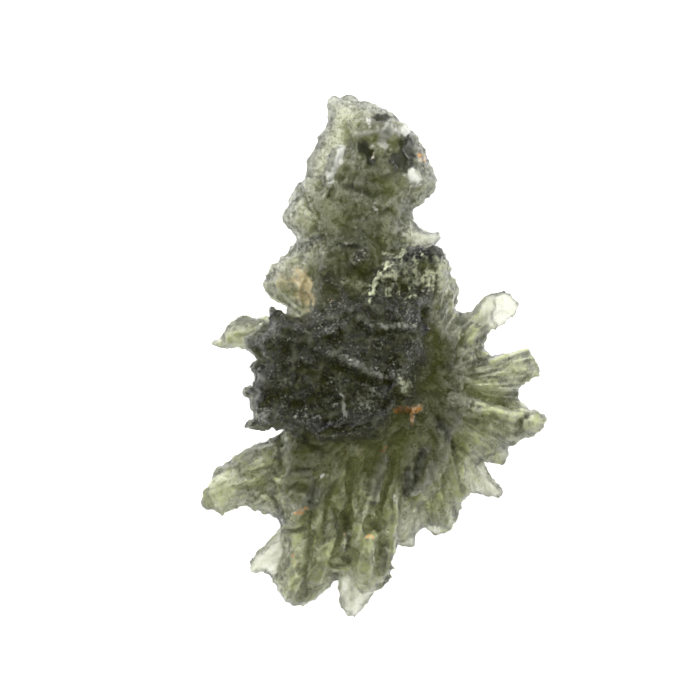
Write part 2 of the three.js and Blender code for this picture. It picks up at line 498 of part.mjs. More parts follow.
// Depth inside a tapering line of round sections, which are flat times as high as they are wide
function depthInLine({ line, flat }, x, y, z) {
  let depth = -Infinity;
  for (let i = 1; i < line.length; i++) {
    const [ax, ay, az, ar] = line[i - 1];
    const [bx, by, bz, br] = line[i];
    const [ex, ey, ez] = [bx - ax, by - ay, (bz - az) / flat];
    const [px, py, pz] = [x - ax, y - ay, (z - az) / flat];
    const t = clamp((px * ex + py * ey + pz * ez) / (ex * ex + ey * ey + ez * ez), 0, 1);
    const away = Math.hypot(px - t * ex, py - t * ey, pz - t * ez);
    depth = Math.max(depth, ar + (br - ar) * t - away);
  }
  return depth;
}

// The box in plan outside which a line has no effect
function reachOf({ line }) {
  const reach = Math.max(...line.map((p) => p[3])) + REACH;
  const [xs, ys] = [line.map((p) => p[0]), line.map((p) => p[1])];
  return {
    left: Math.min(...xs) - reach,
    right: Math.max(...xs) + reach,
    bottom: Math.min(...ys) - reach,
    top: Math.max(...ys) + reach,
  };
}
for (const form of [...ribs, ...cuts]) form.reach = reachOf(form);
const isNear = (x, y) => ({ reach }) =>
  x > reach.left && x < reach.right && y > reach.bottom && y < reach.top;

// What etching adds to or takes from the depth. Flutes fan out from one point, with rougher
// relief between them. Both have sharp crests and round troughs.
const noise = new ImprovedNoise();
const crested = (x, y, z) => 0.4 - 2 * Math.abs(noise.noise(x, y, z));
function etching(x, y, z) {
  const [dx, dy] = [x - FAN_CENTRE[0], y - FAN_CENTRE[1]];
  const out = Math.hypot(dx, dy);
  const turn = Math.atan2(dy, dx);
  const outside = smoothstep(out, ...FLUTES_GROW);
  const inHead = smoothstep(y, ...FLUTES_FADE);
  const flute = crested(
    Math.cos(turn) * FLUTES_PER_RADIAN + 9,
    Math.sin(turn) * FLUTES_PER_RADIAN + 4,
    out * FLUTE_WANDER + z * FLUTE_LEAN,
  );
  const rough = crested(x * ROUGH_PER_MM + 3, y * ROUGH_PER_MM, z * ROUGH_PER_MM + 7);
  const grain = noise.noise(x * GRAIN_PER_MM, y * GRAIN_PER_MM + 11, z * GRAIN_PER_MM);
  const fluted = FLUTE_DEPTH * outside * (1 - FLUTES_LOST * inHead) * flute;
  const rougher = 1 + HIGH_ROUGHER * smoothstep(z, ...HIGH);
  return fluted + rougher * (ROUGH_DEPTH * rough + GRAIN_DEPTH * grain);
}

// The whole stone's depths up one line of the lattice
function depthsUp(x, y, heights) {
  const over = sheets.map((sheet) => sheetOver(sheet, x, y)).filter(Boolean);
  const nearRibs = ribs.filter(isNear(x, y));
  if (!over.length && !nearRibs.length) return heights.map(() => -REACH);
  const nearCuts = cuts.filter(isNear(x, y));
  const thickest = Math.max(RIM, ...over.map(({ above, below }) => (above + below) / 2));
  const etched = RIM_ETCHED + (1 - RIM_ETCHED) * smoothstep(thickest, RIM, THICK);
  return heights.map((z) => {
    let depth = -REACH;
    for (const sheet of over) depth = meltedMax(depth, depthInSheet(sheet, z), SHEET_MELT);
    for (const rib of nearRibs) depth = meltedMax(depth, depthInLine(rib, x, y, z), RIB_MELT);
    const etchedHere = etched * smoothstep(z, GROUND, GROUND + 1);
    if (Math.abs(depth) < NEAR_SKIN) depth += etchedHere * etching(x, y, z);
    for (const cut of nearCuts) depth = meltedMin(depth, -depthInLine(cut, x, y, z), CUT_MELT);
    return depth;
  });
}

// Traces the skin, where the depth is zero, as a closed surface in millimetres
function traceSkin() {
  const mostFacets = 200000;
  const lattice = new MarchingCubes(LATTICE, new THREE.MeshBasicMaterial(), false, false, mostFacets);
  lattice.isolation = 0;
  const [midX, midY, midZ] = LATTICE_MIDDLE;
  const steps = [...Array(LATTICE).keys()].map((i) => (i - LATTICE / 2) * CELL);
  const heights = steps.map((s) => s + midZ);
  const nudge = 0.08 * CELL; // keeps a corner of the skin off the lattice's own points
  for (let j = 0; j < LATTICE; j++) {
    for (let i = 0; i < LATTICE; i++) {
      depthsUp(steps[i] + midX, steps[j] + midY, heights).forEach((depth, k) => {
        const clear = Math.abs(depth) < nudge ? Math.sign(depth || 1) * nudge : depth;
        lattice.field[i + j * LATTICE + k * LATTICE * LATTICE] = clear;
      });
    }
  }
  lattice.update();
  const points = lattice.positionArray.slice(0, lattice.count * 3);
  const half = (LATTICE / 2) * CELL;
  const skin = new THREE.BufferGeometry();
  skin.setAttribute('position', new THREE.BufferAttribute(points, 3));
  skin.scale(half, half, half).translate(midX, midY, midZ);
  return mergeVertices(skin, 1e-4);
}

// The largest connected surface, without crumbs beside it or bubbles inside it
function outermost(geometry) {
  const faces = geometry.index.array;
  const leads = Uint32Array.from({ length: geometry.attributes.position.count }, (_, v) => v);
  const leadOf = (v) => {
    while (leads[v] !== v) v = leads[v] = leads[leads[v]];
    return v;
  };
  for (let i = 0; i < faces.length; i += 3) {
    leads[leadOf(faces[i + 1])] = leadOf(faces[i]);
    leads[leadOf(faces[i + 2])] = leadOf(faces[i]);
  }
  const sizes = new Map();
  for (const v of faces) sizes.set(leadOf(v), (sizes.get(leadOf(v)) || 0) + 1);
  const most = Math.max(...sizes.values());
  return geometry.clone().setIndex([...faces].filter((v) => sizes.get(leadOf(v)) === most));
}

// A heap of edges, cheapest first
class Heap {
  items = [];
  push(item) {
    const { items } = this;
    let i = items.push(item) - 1;
    while (i > 0) {
      const up = (i - 1) >> 1;
      if (items[up].cost <= item.cost) break;
      items[i] = items[up];
      i = up;
    }
    items[i] = item;
  }
  pop() {
    const { items } = this;
    const top = items[0];
    const last = items.pop();
    if (!items.length) return top;
    let i = 0;
    for (;;) {
      let down = 2 * i + 1;
      if (down >= items.length) break;
      if (down + 1 < items.length && items[down + 1].cost < items[down].cost) down++;
      if (items[down].cost >= last.cost) break;
      items[i] = items[down];
      i = down;
    }
    items[i] = last;
    return top;
  }
}

// Thins a closed surface to a number of facets. Each step closes up the edge that moves the
// surface least, measured as the squared distance from the planes of the facets it stands for.
function thinned(geometry, facets) {
  const at = Float64Array.from(geometry.attributes.position.array);
  const faces = geometry.index.array;
  const cornersOf = (_, f) => [...faces.slice(3 * f, 3 * f + 3)];
  const corners = Array.from({ length: faces.length / 3 }, cornersOf);
  const around = Array.from({ length: at.length / 3 }, () => new Set());
  corners.forEach((face, f) => face.forEach((v) => around[v].add(f)));
  const point = (v) => [at[3 * v], at[3 * v + 1], at[3 * v + 2]];
  const across = (p, q, r) => {
    const [ux, uy, uz] = [q[0] - p[0], q[1] - p[1], q[2] - p[2]];
    const [wx, wy, wz] = [r[0] - p[0], r[1] - p[1], r[2] - p[2]];
    return [uy * wz - uz * wy, uz * wx - ux * wz, ux * wy - uy * wx];
  };

  // Each corner's sum of planes: xx xy xz xd yy yz yd zz zd dd
  const planes = around.map(() => new Float64Array(10));
  for (const face of corners) {
    const [p, q, r] = face.map(point);
    const n = across(p, q, r);
    const size = Math.hypot(...n);
    const [a, b, c] = n.map((v) => v / size);
    const d = -(a * p[0] + b * p[1] + c * p[2]);
    const sum = [a * a, a * b, a * c, a * d, b * b, b * c, b * d, c * c, c * d, d * d];
    for (const v of face) sum.forEach((s, i) => (planes[v][i] += s * size));
  }
  const misfit = (q, [x, y, z]) =>
    q[0] * x * x + 2 * q[1] * x * y + 2 * q[2] * x * z + 2 * q[3] * x + q[4] * y * y +
    2 * q[5] * y * z + 2 * q[6] * y + q[7] * z * z + 2 * q[8] * z + q[9];

  // The best place for what two corners become: where their planes meet, if that is near
  const evenness = 2e-4; // prefers short edges where the surface is flat
  function closing(a, b) {
    const [p, r] = [point(a), point(b)];
    const q = planes[a].map((s, i) => s + planes[b][i]);
    const middle = p.map((v, i) => (v + r[i]) / 2);
    const gap = Math.hypot(p[0] - r[0], p[1] - r[1], p[2] - r[2]);
    const m = new THREE.Matrix3().set(q[0], q[1], q[2], q[1], q[4], q[5], q[2], q[5], q[7]);
    let places = [middle, p, r];
    if (Math.abs(m.determinant()) > 1e-6) {
      const best = new THREE.Vector3(-q[3], -q[6], -q[8]).applyMatrix3(m.invert()).toArray();
      const off = Math.hypot(best[0] - middle[0], best[1] - middle[1], best[2] - middle[2]);
      if (off < gap) places = [best, ...places];
    }
    const costs = places.map((place) => misfit(q, place));
    const cost = Math.min(...costs);
    return { a, b, place: places[costs.indexOf(cost)], cost: cost + evenness * gap * gap };
  }

  const stamp = new Uint32Array(around.length);
  const heap = new Heap();
  const add = (a, b) => heap.push({ ...closing(a, b), stamps: [stamp[a], stamp[b]] });
  const neighbours = (v) => {
    const found = new Set();
    for (const f of around[v]) for (const w of corners[f]) if (w !== v) found.add(w);
    return found;
  };
  around.forEach((_, v) => neighbours(v).forEach((w) => v < w && add(v, w)));

  // A facet may not turn over or become a sliver when its corner moves
  const leastLean = 0.35;
  const leastShape = 0.06;
  function spoils(moving, other, place) {
    for (const f of around[moving]) {
      const face = corners[f];
      if (face.includes(other)) continue;
      const before = face.map(point);
      const after = face.map((v, i) => (v === moving ? place : before[i]));
      const [n, m] = [across(...before), across(...after)];
      const [sizeN, sizeM] = [Math.hypot(...n), Math.hypot(...m)];
      if (n[0] * m[0] + n[1] * m[1] + n[2] * m[2] < leastLean * sizeN * sizeM) return true;
      const sides = after.map((p, i) => {
        const q = after[(i + 1) % 3];
        return (p[0] - q[0]) ** 2 + (p[1] - q[1]) ** 2 + (p[2] - q[2]) ** 2;
      });
      if (sizeM < leastShape * Math.max(...sides)) return true;
    }
    return false;
  }

  let left = corners.length;
  while (left > facets && heap.items.length) {
    const { a, b, place, stamps } = heap.pop();
    const stale = stamps[0] !== stamp[a] || stamps[1] !== stamp[b];
    if (stale || !around[a].size || !around[b].size) continue;
    const shared = [...neighbours(a)].filter((v) => neighbours(b).has(v));
    if (shared.length !== 2 || spoils(a, b, place) || spoils(b, a, place)) continue;
    at.set(place, 3 * a);
    planes[b].forEach((s, i) => (planes[a][i] += s));
    for (const f of around[b]) {
      if (corners[f].includes(a)) {
        corners[f].forEach((v) => v !== b && around[v].delete(f));
        corners[f] = null;
        left--;
      } else {
        corners[f] = corners[f].map((v) => (v === b ? a : v));
        around[a].add(f);
      }
    }
    around[b].clear();
    stamp[a]++;
    stamp[b]++;
    for (const v of neighbours(a)) add(a, v);
  }

  const kept = corners.filter(Boolean).flatMap((face) => face.flatMap(point));
  const result = new THREE.BufferGeometry();
  result.setAttribute('position', new THREE.Float32BufferAttribute(kept, 3));
  return mergeVertices(result, 1e-5);
}

// Cuts off what lies below the ground, so that each belly ends in a small level face
const wasm = await Module();
wasm.setup();
function toSolid(geometry) {
  const bare = geometry.clone();
  bare.deleteAttribute('normal');
  bare.deleteAttribute('uv');
  const merged = mergeVertices(bare, 1e-5);
  return new wasm.Manifold(
    new wasm.Mesh({
      numProp: 3,
      vertProperties: Float32Array.from(merged.attributes.position.array),
      triVerts: Uint32Array.from(merged.index.array),
    }),
  );
}
function toGeometry(solid) {
  const { vertProperties, triVerts } = solid.getMesh();
  return new THREE.BufferGeometry()
    .setAttribute('position', new THREE.BufferAttribute(vertProperties, 3))
    .setIndex(new THREE.BufferAttribute(triVerts, 1));
}
function withLevelFeet(geometry) {
  const [wide, deep] = [60, 10];
  const ground = new THREE.BoxGeometry(wide, wide, deep).translate(0, 0, GROUND - deep / 2);
  return toGeometry(toSolid(geometry).subtract(toSolid(ground)));
}

const stone = withLevelFeet(thinned(outermost(traceSkin()), FACETS));
stone.computeBoundingBox();
const middle = stone.boundingBox.getCenter(new THREE.Vector3());
stone.translate(-middle.x, -middle.y, -GROUND);
stone.computeVertexNormals();

const moldavite = new THREE.Mesh(
  stone,
  new THREE.MeshStandardMaterial({
    color: 0x6f7450,
    roughness: 0.35,
    metalness: 0,
    transparent: true,
    opacity: 0.85,
  }),
);
moldavite.name = 'moldavite';

const part = new THREE.Group();
part.add(moldavite);
export default part;
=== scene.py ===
import math
import bpy
import numpy as np
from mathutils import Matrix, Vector, noise
from mathutils.bvhtree import BVHTree


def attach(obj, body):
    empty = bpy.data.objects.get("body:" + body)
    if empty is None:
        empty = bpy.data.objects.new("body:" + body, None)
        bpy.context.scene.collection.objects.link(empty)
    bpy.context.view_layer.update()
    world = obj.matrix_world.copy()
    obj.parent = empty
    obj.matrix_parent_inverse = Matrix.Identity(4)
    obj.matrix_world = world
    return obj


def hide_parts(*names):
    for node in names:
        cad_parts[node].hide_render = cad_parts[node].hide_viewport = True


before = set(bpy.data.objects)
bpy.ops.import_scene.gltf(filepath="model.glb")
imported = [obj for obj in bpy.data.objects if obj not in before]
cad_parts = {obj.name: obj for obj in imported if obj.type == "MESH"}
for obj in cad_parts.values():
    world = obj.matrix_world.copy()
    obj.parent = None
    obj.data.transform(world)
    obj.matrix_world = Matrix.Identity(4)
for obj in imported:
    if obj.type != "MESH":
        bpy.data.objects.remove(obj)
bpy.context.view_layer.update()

MM = 0.001

# The camera
# It hangs straight over the stone, because the stone lies on its back, with a long lens, as a
# close-up has. One millimetre of the stone covers 14 of the picture's 700 pixels.
PIXELS_PER_MM = 14
PICTURE = 700
STONE_MIDDLE_IN_PICTURE = (373, 356)
FOCUS_HEIGHT = 4.5 * MM
LENS = 400
SENSOR = 36
NEAREST_SEEN = 0.01
FURTHEST_SEEN = 10

shown_width = PICTURE / PIXELS_PER_MM * MM
camera_data = bpy.data.cameras.new("camera")
camera_data.lens = LENS
camera_data.sensor_width = SENSOR
camera_data.clip_start = NEAREST_SEEN
camera_data.clip_end = FURTHEST_SEEN
camera = bpy.data.objects.new("camera", camera_data)
camera.location = (
    (PICTURE / 2 - STONE_MIDDLE_IN_PICTURE[0]) / PIXELS_PER_MM * MM,
    (STONE_MIDDLE_IN_PICTURE[1] - PICTURE / 2) / PIXELS_PER_MM * MM,
    FOCUS_HEIGHT + shown_width * LENS / SENSOR,
)
bpy.context.scene.collection.objects.link(camera)
bpy.context.scene.camera = camera


# The floor
# A white sheet that glows softly, as on a light table, and a little less further out. The glow
# is what shows through the thin glass.
FLOOR_SIZE = 4.0
FLOOR_GREY = 0.6
FLOOR_ROUGH = 0.9
FLOOR_GLOW = 1.0
FLOOR_GLOW_FAR = 0.9
GLOW_FULL_TO = 0.035
GLOW_FAR_FROM = 0.10


def fade(tree, value, start, end, before, after):
    """A smooth change from before, up to start, to after, from end on."""
    made = tree.nodes.new("ShaderNodeMapRange")
    made.interpolation_type = "SMOOTHSTEP"
    ends = {"From Min": start, "From Max": end, "To Min": before, "To Max": after}
    for name, number in ends.items():
        made.inputs[name].default_value = number
    tree.links.new(value, made.inputs["Value"])
    return made.outputs["Result"]


bpy.ops.object.select_all(action="DESELECT")
bpy.ops.mesh.primitive_plane_add(size=FLOOR_SIZE, location=(0, 0, 0))
floor = bpy.context.object
floor.name = "floor"
sheet = bpy.data.materials.new("white_sheet")
sheet.use_nodes = True
sheet_tree = sheet.node_tree
sheet_shader = sheet_tree.nodes["Principled BSDF"]
sheet_shader.inputs["Base Color"].default_value = (FLOOR_GREY, FLOOR_GREY, FLOOR_GREY, 1)
sheet_shader.inputs["Roughness"].default_value = FLOOR_ROUGH
sheet_shader.inputs["Emission Color"].default_value = (1, 1, 1, 1)
sheet_place = sheet_tree.nodes.new("ShaderNodeTexCoord")
from_middle = sheet_tree.nodes.new("ShaderNodeVectorMath")
from_middle.operation = "LENGTH"
sheet_tree.links.new(sheet_place.outputs["Object"], from_middle.inputs[0])
glow = fade(
    sheet_tree, from_middle.outputs["Value"], GLOW_FULL_TO, GLOW_FAR_FROM, FLOOR_GLOW, FLOOR_GLOW_FAR
)
sheet_tree.links.new(glow, sheet_shader.inputs["Emission Strength"])
floor.data.materials.append(sheet)


# The room and its lamps
# Pale walls and a dark ceiling, with two round soft lamps: the stronger one above and to the
# left of the stone's head, and a weaker one lower down on the right.
WALLS = 1.0
CEILING = 0.06
WALLS_TO = 0.1
CEILING_FROM = 0.6
KEY = 44.0
KEY_PLACE = (-0.22, 0.38, 0.36)
KEY_WIDTH = 0.16
FILL = 13.0
FILL_PLACE = (0.45, 0.05, 0.25)
FILL_WIDTH = 0.17

room = bpy.data.worlds.new("room")
room.use_nodes = True
room_tree = room.node_tree
background = room_tree.nodes["Background"]
background.inputs["Color"].default_value = (1, 1, 1, 1)
direction = room_tree.nodes.new("ShaderNodeTexCoord")
upwards = room_tree.nodes.new("ShaderNodeSeparateXYZ")
room_tree.links.new(direction.outputs["Generated"], upwards.inputs[0])
room_light = fade(room_tree, upwards.outputs["Z"], WALLS_TO, CEILING_FROM, WALLS, CEILING)
room_tree.links.new(room_light, background.inputs["Strength"])
bpy.context.scene.world = room


def soft_lamp(name, place, width, brightness):
    """A round soft box that faces the stone. Its brightness is set against the white sheet's 1."""
    data = bpy.data.lights.new(name, "AREA")
    data.shape = "DISK"
    data.size = width
    data.energy = brightness * math.pi * math.pi * (width / 2) ** 2
    lamp = bpy.data.objects.new(name, data)
    lamp.location = place
    lamp.rotation_euler = (-Vector(place)).to_track_quat("-Z", "Y").to_euler()
    bpy.context.scene.collection.objects.link(lamp)


soft_lamp("key", KEY_PLACE, KEY_WIDTH, KEY)
soft_lamp("fill", FILL_PLACE, FILL_WIDTH, FILL)


# The stone
# Natural glass that formed as one piece and was etched in the ground into sheets, ribs and
# spines. It is remade from its solid at a fine grain, and its skin is then worked over with
# flutes, creases and chips, as the etching did.
GRAIN = 0.162 * MM
WELD = 0.001 * MM
SMOOTHING = 0.5
SMOOTHING_ROUNDS = 6

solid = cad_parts["moldavite"]
stone = bpy.data.objects.new("stone", solid.data.copy())
bpy.context.scene.collection.objects.link(stone)
bpy.ops.object.select_all(action="DESELECT")
stone.select_set(True)
bpy.context.view_layer.objects.active = stone
bpy.ops.object.mode_set(mode="EDIT")
bpy.ops.mesh.select_all(action="SELECT")
bpy.ops.mesh.remove_doubles(threshold=WELD)
bpy.ops.object.mode_set(mode="OBJECT")


def apply(kind, **settings):
    """Adds a modifier to the stone and applies it at once."""
    modifier = stone.modifiers.new(kind.lower(), kind)
    for key, value in settings.items():
        setattr(modifier, key, value)
    bpy.ops.object.modifier_apply(modifier=modifier.name)


apply("REMESH", mode="VOXEL", voxel_size=GRAIN)
apply("SMOOTH", factor=SMOOTHING, iterations=SMOOTHING_ROUNDS)

# Strokes drawn over the side that faces up, as the etching left them: x and y in mm along each
# line, then half its width, and how far it stands out or, with a minus, is cut in.
STROKES = [
    # the finger ridges of the skirt, the grooves between them and their cross lines
    ([(-0.5, -7.0), (-0.8, -9.2), (-1.1, -11.8), (-1.0, -12.8)], 0.45, 0.55),
    ([(0.7, -6.8), (0.3, -8.6), (0.0, -10.2)], 0.5, 0.4),
    ([(-1.5, -7.2), (-1.7, -9.4), (-1.8, -11.4)], 0.35, -0.6),
    ([(1.5, -7.0), (1.0, -8.8), (0.4, -11.4)], 0.35, -0.75),
    ([(2.4, -6.4), (1.8, -8.0), (1.0, -10.6), (0.7, -11.4)], 0.4, 0.45),
    ([(3.4, -7.0), (2.8, -8.8), (2.0, -10.4)], 0.5, -0.6),
    ([(1.6, -9.9), (1.5, -12.0), (1.2, -13.8), (0.9, -15.4)], 0.4, 0.45),
    ([(0.7, -12.8), (0.5, -14.4), (0.3, -15.8)], 0.25, -0.4),
    ([(-0.5, -12.0), (0.3, -12.0), (0.8, -12.3)], 0.4, -0.6),
    ([(-0.5, -13.2), (-0.6, -14.8), (-0.4, -16.2)], 0.7, 0.4),
    ([(-1.9, -11.2), (-1.9, -12.6), (-1.6, -14.0)], 0.4, -0.6),
    ([(-2.3, -8.6), (-2.4, -10.4), (-2.8, -12.4), (-3.6, -14.4), (-4.0, -16.6)], 0.55, 0.55),
    ([(-3.2, -8.4), (-3.4, -10.4), (-3.7, -12.6)], 0.3, -0.45),
    ([(-3.9, -8.4), (-4.0, -10.4), (-4.2, -12.4)], 0.3, 0.35),
    ([(-4.5, -10.0), (-4.6, -12.0), (-4.6, -14.0), (-5.0, -16.6)], 0.35, -0.6),
    ([(-5.4, -12.8), (-5.6, -15.0), (-5.8, -16.6)], 0.6, 0.4),
    ([(-3.0, -14.7), (-2.0, -14.8), (-1.2, -14.4)], 0.45, -0.7),
    ([(-6.5, -12.4), (-5.6, -12.2), (-4.9, -12.0)], 0.2, 0.3),
    ([(-6.4, -12.8), (-5.4, -12.5), (-4.8, -12.4)], 0.15, -0.35),
    ([(-6.9, -9.2), (-6.2, -9.6), (-5.2, -9.3), (-4.2, -9.7)], 0.35, -0.5),
    ([(-7.0, -8.9), (-5.6, -9.0), (-4.6, -8.9)], 0.25, 0.4),
    ([(-6.0, -7.0), (-4.6, -7.0), (-3.4, -7.1)], 0.3, 0.4),
    ([(-6.6, -7.9), (-5.4, -8.1), (-4.2, -8.4)], 0.3, -0.45),
    ([(-6.7, -5.9), (-6.5, -7.0), (-6.6, -8.2)], 0.3, -0.4),
    ([(-5.4, -6.2), (-4.4, -6.6), (-3.2, -6.4)], 0.35, -0.4),
    ([(-2.8, -6.7), (-1.8, -6.5), (-0.9, -6.9)], 0.5, 0.35),
    # the paddle's two folds and its scalloped lower lip
    ([(-8.2, -6.6), (-9.6, -7.4), (-11.0, -8.6)], 0.4, 0.25),
    ([(-7.2, -7.9), (-9.2, -8.3), (-11.0, -9.4)], 0.3, -0.25),
    ([(-7.2, -8.6), (-9.0, -8.9), (-10.4, -9.8)], 0.3, 0.25),
    ([(-11.6, -8.6), (-11.9, -9.8), (-11.6, -10.9)], 0.25, -0.25),
    ([(-8.4, -10.2), (-7.6, -9.9), (-7.0, -10.4)], 0.3, -0.3),
    # the fan's ribs and the grooves that run out between them
    ([(4.4, -4.2), (5.4, -5.8), (6.3, -7.6)], 0.35, -0.6),
    ([(5.0, -4.0), (6.6, -5.4), (8.4, -6.6)], 0.5, 0.4),
    ([(6.6, -5.0), (7.8, -6.0), (9.0, -6.6)], 0.25, -0.4),
    ([(5.4, -3.0), (7.4, -3.9), (9.6, -4.3)], 0.6, 0.35),
    ([(7.0, -2.6), (8.4, -3.2), (9.8, -3.9)], 0.3, -0.55),
    ([(5.4, -1.8), (7.6, -2.2), (10.0, -2.4)], 0.4, 0.3),
    ([(8.0, -1.4), (9.4, -1.5), (11.0, -1.3)], 0.25, -0.35),
    ([(7.4, -0.8), (9.2, -0.4), (11.0, 0.2)], 0.35, 0.3),
    ([(5.9, -0.8), (6.0, 0.6), (6.8, 1.8)], 0.25, -0.5),
    ([(6.6, -0.8), (6.9, 0.6), (7.3, 2.0)], 0.5, 0.35),
    ([(7.6, 1.6), (7.6, 0.4), (8.2, -0.6)], 0.25, -0.45),
    ([(4.6, -5.2), (5.1, -7.0), (5.9, -9.0)], 0.45, 0.4),
    ([(3.8, -6.6), (3.4, -8.6), (2.6, -10.4)], 0.4, -0.6),
    ([(4.4, -7.6), (4.7, -9.4), (5.4, -11.4)], 0.35, 0.25),
    ([(6.0, -7.6), (6.3, -8.8), (6.5, -9.6)], 0.25, -0.35),
    ([(8.7, 3.9), (8.6, 3.0), (8.8, 2.2)], 0.15, -0.3),
    ([(4.0, 3.0), (3.9, 1.0), (4.4, -1.0), (3.6, -2.4)], 0.35, -0.4),
    # the lump's creases, its streak and its horns
    ([(-3.6, 0.5), (-2.0, -0.2), (-0.4, -1.0), (1.2, -1.7)], 0.35, 0.45),
    ([(-3.2, -0.4), (-1.6, -1.4), (0.4, -2.0)], 0.45, -0.6),
    ([(-0.6, 2.3), (1.4, 2.1), (3.2, 2.0)], 0.22, 0.5),
    ([(-0.6, 1.6), (1.4, 1.5), (3.4, 1.3)], 0.35, -0.55),
    ([(0.2, 0.9), (1.6, 0.5), (2.8, -0.4)], 0.4, 0.4),
    ([(-1.0, 0.2), (0.8, -0.2), (1.8, -0.8)], 0.3, -0.5),
    ([(-2.0, 1.4), (-1.2, 2.4), (-0.6, 3.0)], 0.5, 0.4),
    ([(-3.2, 2.6), (-2.4, 2.0), (-2.4, 1.0)], 0.3, -0.4),
    ([(-5.6, 0.2), (-4.6, -0.4), (-4.2, -1.0)], 0.4, 0.45),
    ([(-6.2, 1.0), (-6.0, -0.2), (-6.4, -1.2)], 0.35, -0.55),
    ([(-7.9, -0.2), (-7.4, -0.8), (-6.8, -1.4)], 0.12, 0.35),
    ([(-7.6, 0.2), (-7.0, -0.4), (-6.5, -1.1)], 0.12, 0.35),
    ([(-5.9, -0.6), (-5.9, -1.4), (-5.5, -2.2)], 0.15, 0.35),
    ([(-3.6, -1.4), (-3.4, -2.6), (-2.6, -3.6)], 0.5, -0.65),
    ([(-2.3, -2.4), (-2.2, -3.4), (-2.0, -4.4)], 0.16, 0.5),
    ([(-1.9, -2.4), (-1.8, -3.4), (-1.9, -4.2)], 0.12, -0.3),
    ([(-4.8, -2.4), (-4.9, -3.4), (-4.4, -4.2)], 0.35, 0.45),
    ([(-7.2, -3.0), (-6.0, -3.3), (-5.0, -3.6)], 0.3, -0.55),
    ([(-8.2, -3.4), (-7.6, -4.4), (-7.0, -4.9)], 0.3, 0.35),
    ([(-4.2, -4.8), (-2.6, -5.0), (-1.0, -4.9), (0.6, -4.6)], 0.3, -0.5),
    ([(-6.4, 2.0), (-5.4, 1.8), (-4.6, 1.4)], 0.3, 0.4),
    ([(-4.6, 2.3), (-3.8, 1.2), (-4.4, 0.4)], 0.3, -0.4),
    # the crest's pale strands
    ([(1.0, 6.8), (0.7, 6.0), (0.1, 5.4), (0.0, 4.6), (-0.3, 3.9)], 0.16, 0.5),
    ([(1.2, 6.4), (1.6, 5.6), (1.9, 4.6), (1.9, 4.2)], 0.14, 0.5),
    ([(0.5, 5.6), (1.2, 5.7), (1.6, 5.4)], 0.16, 0.35),
    ([(3.0, 6.9), (3.1, 6.2), (3.0, 5.6)], 0.14, 0.45),
    ([(3.6, 7.2), (3.9, 6.2), (4.0, 5.0)], 0.14, 0.45),
    ([(4.5, 6.2), (4.8, 5.6), (4.7, 4.9), (4.5, 4.6)], 0.16, 0.5),
    ([(4.1, 5.9), (4.4, 5.3), (4.3, 4.8)], 0.14, 0.4),
    ([(2.2, 7.0), (2.2, 5.8), (2.6, 4.8)], 0.4, -0.4),
    ([(3.5, 6.8), (3.5, 5.4), (3.4, 4.6)], 0.2, -0.45),
    ([(0.7, 5.2), (1.2, 4.6), (1.3, 3.9)], 0.35, -0.4),
    ([(-2.0, 5.2), (-0.8, 5.1), (0.0, 4.9)], 0.25, 0.35),
    ([(-1.4, 6.3), (-0.8, 5.7), (0.0, 5.7)], 0.2, -0.4),
    ([(-4.3, 6.4), (-4.4, 5.0), (-4.4, 3.4)], 0.3, -0.5),
    ([(-4.9, 6.2), (-4.9, 5.0), (-5.1, 3.8)], 0.35, 0.35),
    # the head's brow, hollows, folds and cheek
    ([(-1.0, 15.8), (0.0, 16.2), (1.2, 16.5), (2.2, 16.2)], 0.5, 0.5),
    ([(-0.3, 17.2), (-0.6, 16.5), (-1.2, 15.8)], 0.2, 0.4),
    ([(0.1, 17.1), (0.9, 16.8)], 0.55, -0.7),
    ([(-1.2, 15.2), (-0.6, 14.6), (0.0, 13.8)], 0.55, -0.7),
    ([(1.8, 14.8), (2.3, 14.2), (2.1, 13.4)], 0.75, -0.8),
    ([(0.6, 15.5), (0.9, 14.9)], 0.45, 0.4),
    ([(0.2, 15.2), (0.1, 14.0)], 0.12, 0.4),
    ([(-2.2, 14.6), (-2.7, 13.6), (-3.2, 12.4)], 0.22, 0.5),
    ([(-1.9, 16.8), (-1.9, 15.6), (-1.6, 14.8)], 0.35, -0.35),
    ([(-2.9, 11.9), (-3.1, 11.2)], 0.3, -0.6),
    ([(-2.2, 12.1), (-1.2, 12.0), (-0.2, 11.4)], 0.35, -0.6),
    ([(0.6, 13.1), (1.4, 13.2), (2.4, 12.6)], 0.5, 0.4),
    ([(2.5, 12.0), (1.7, 11.2), (0.9, 10.5)], 0.18, 0.45),
    ([(1.9, 10.7), (3.0, 10.8), (3.6, 11.4)], 0.14, 0.4),
    ([(0.8, 10.2), (1.3, 10.6)], 0.35, -0.6),
    ([(2.9, 12.9), (2.9, 12.2)], 0.4, 0.45),
    ([(-5.2, 12.0), (-4.8, 11.0), (-4.1, 10.2)], 0.25, -0.45),
    ([(-3.6, 11.0), (-4.2, 10.6), (-4.4, 9.6)], 0.5, 0.4),
    ([(-2.6, 8.1), (-1.8, 7.8), (-1.0, 7.8)], 0.25, -0.55),
    ([(-2.8, 10.6), (-1.8, 9.6), (-0.6, 8.6)], 0.6, 0.35),
    ([(0.2, 11.2), (0.2, 9.6)], 0.12, 0.35),
    ([(1.4, 9.6), (1.6, 8.4), (1.8, 7.4)], 0.4, 0.3),
    ([(2.4, 8.6), (3.6, 8.5), (4.5, 8.4)], 0.3, 0.2),
]

# A drawn line is weaker towards its ends, and a wide raised one is domed.
LINE_END = 0.45
DOMED_FROM = 0.42
WOBBLE = 0.25
WOBBLES = 0.9
STROKES_ON_LUMP = 0.5
UP_SHARPNESS = 2.5
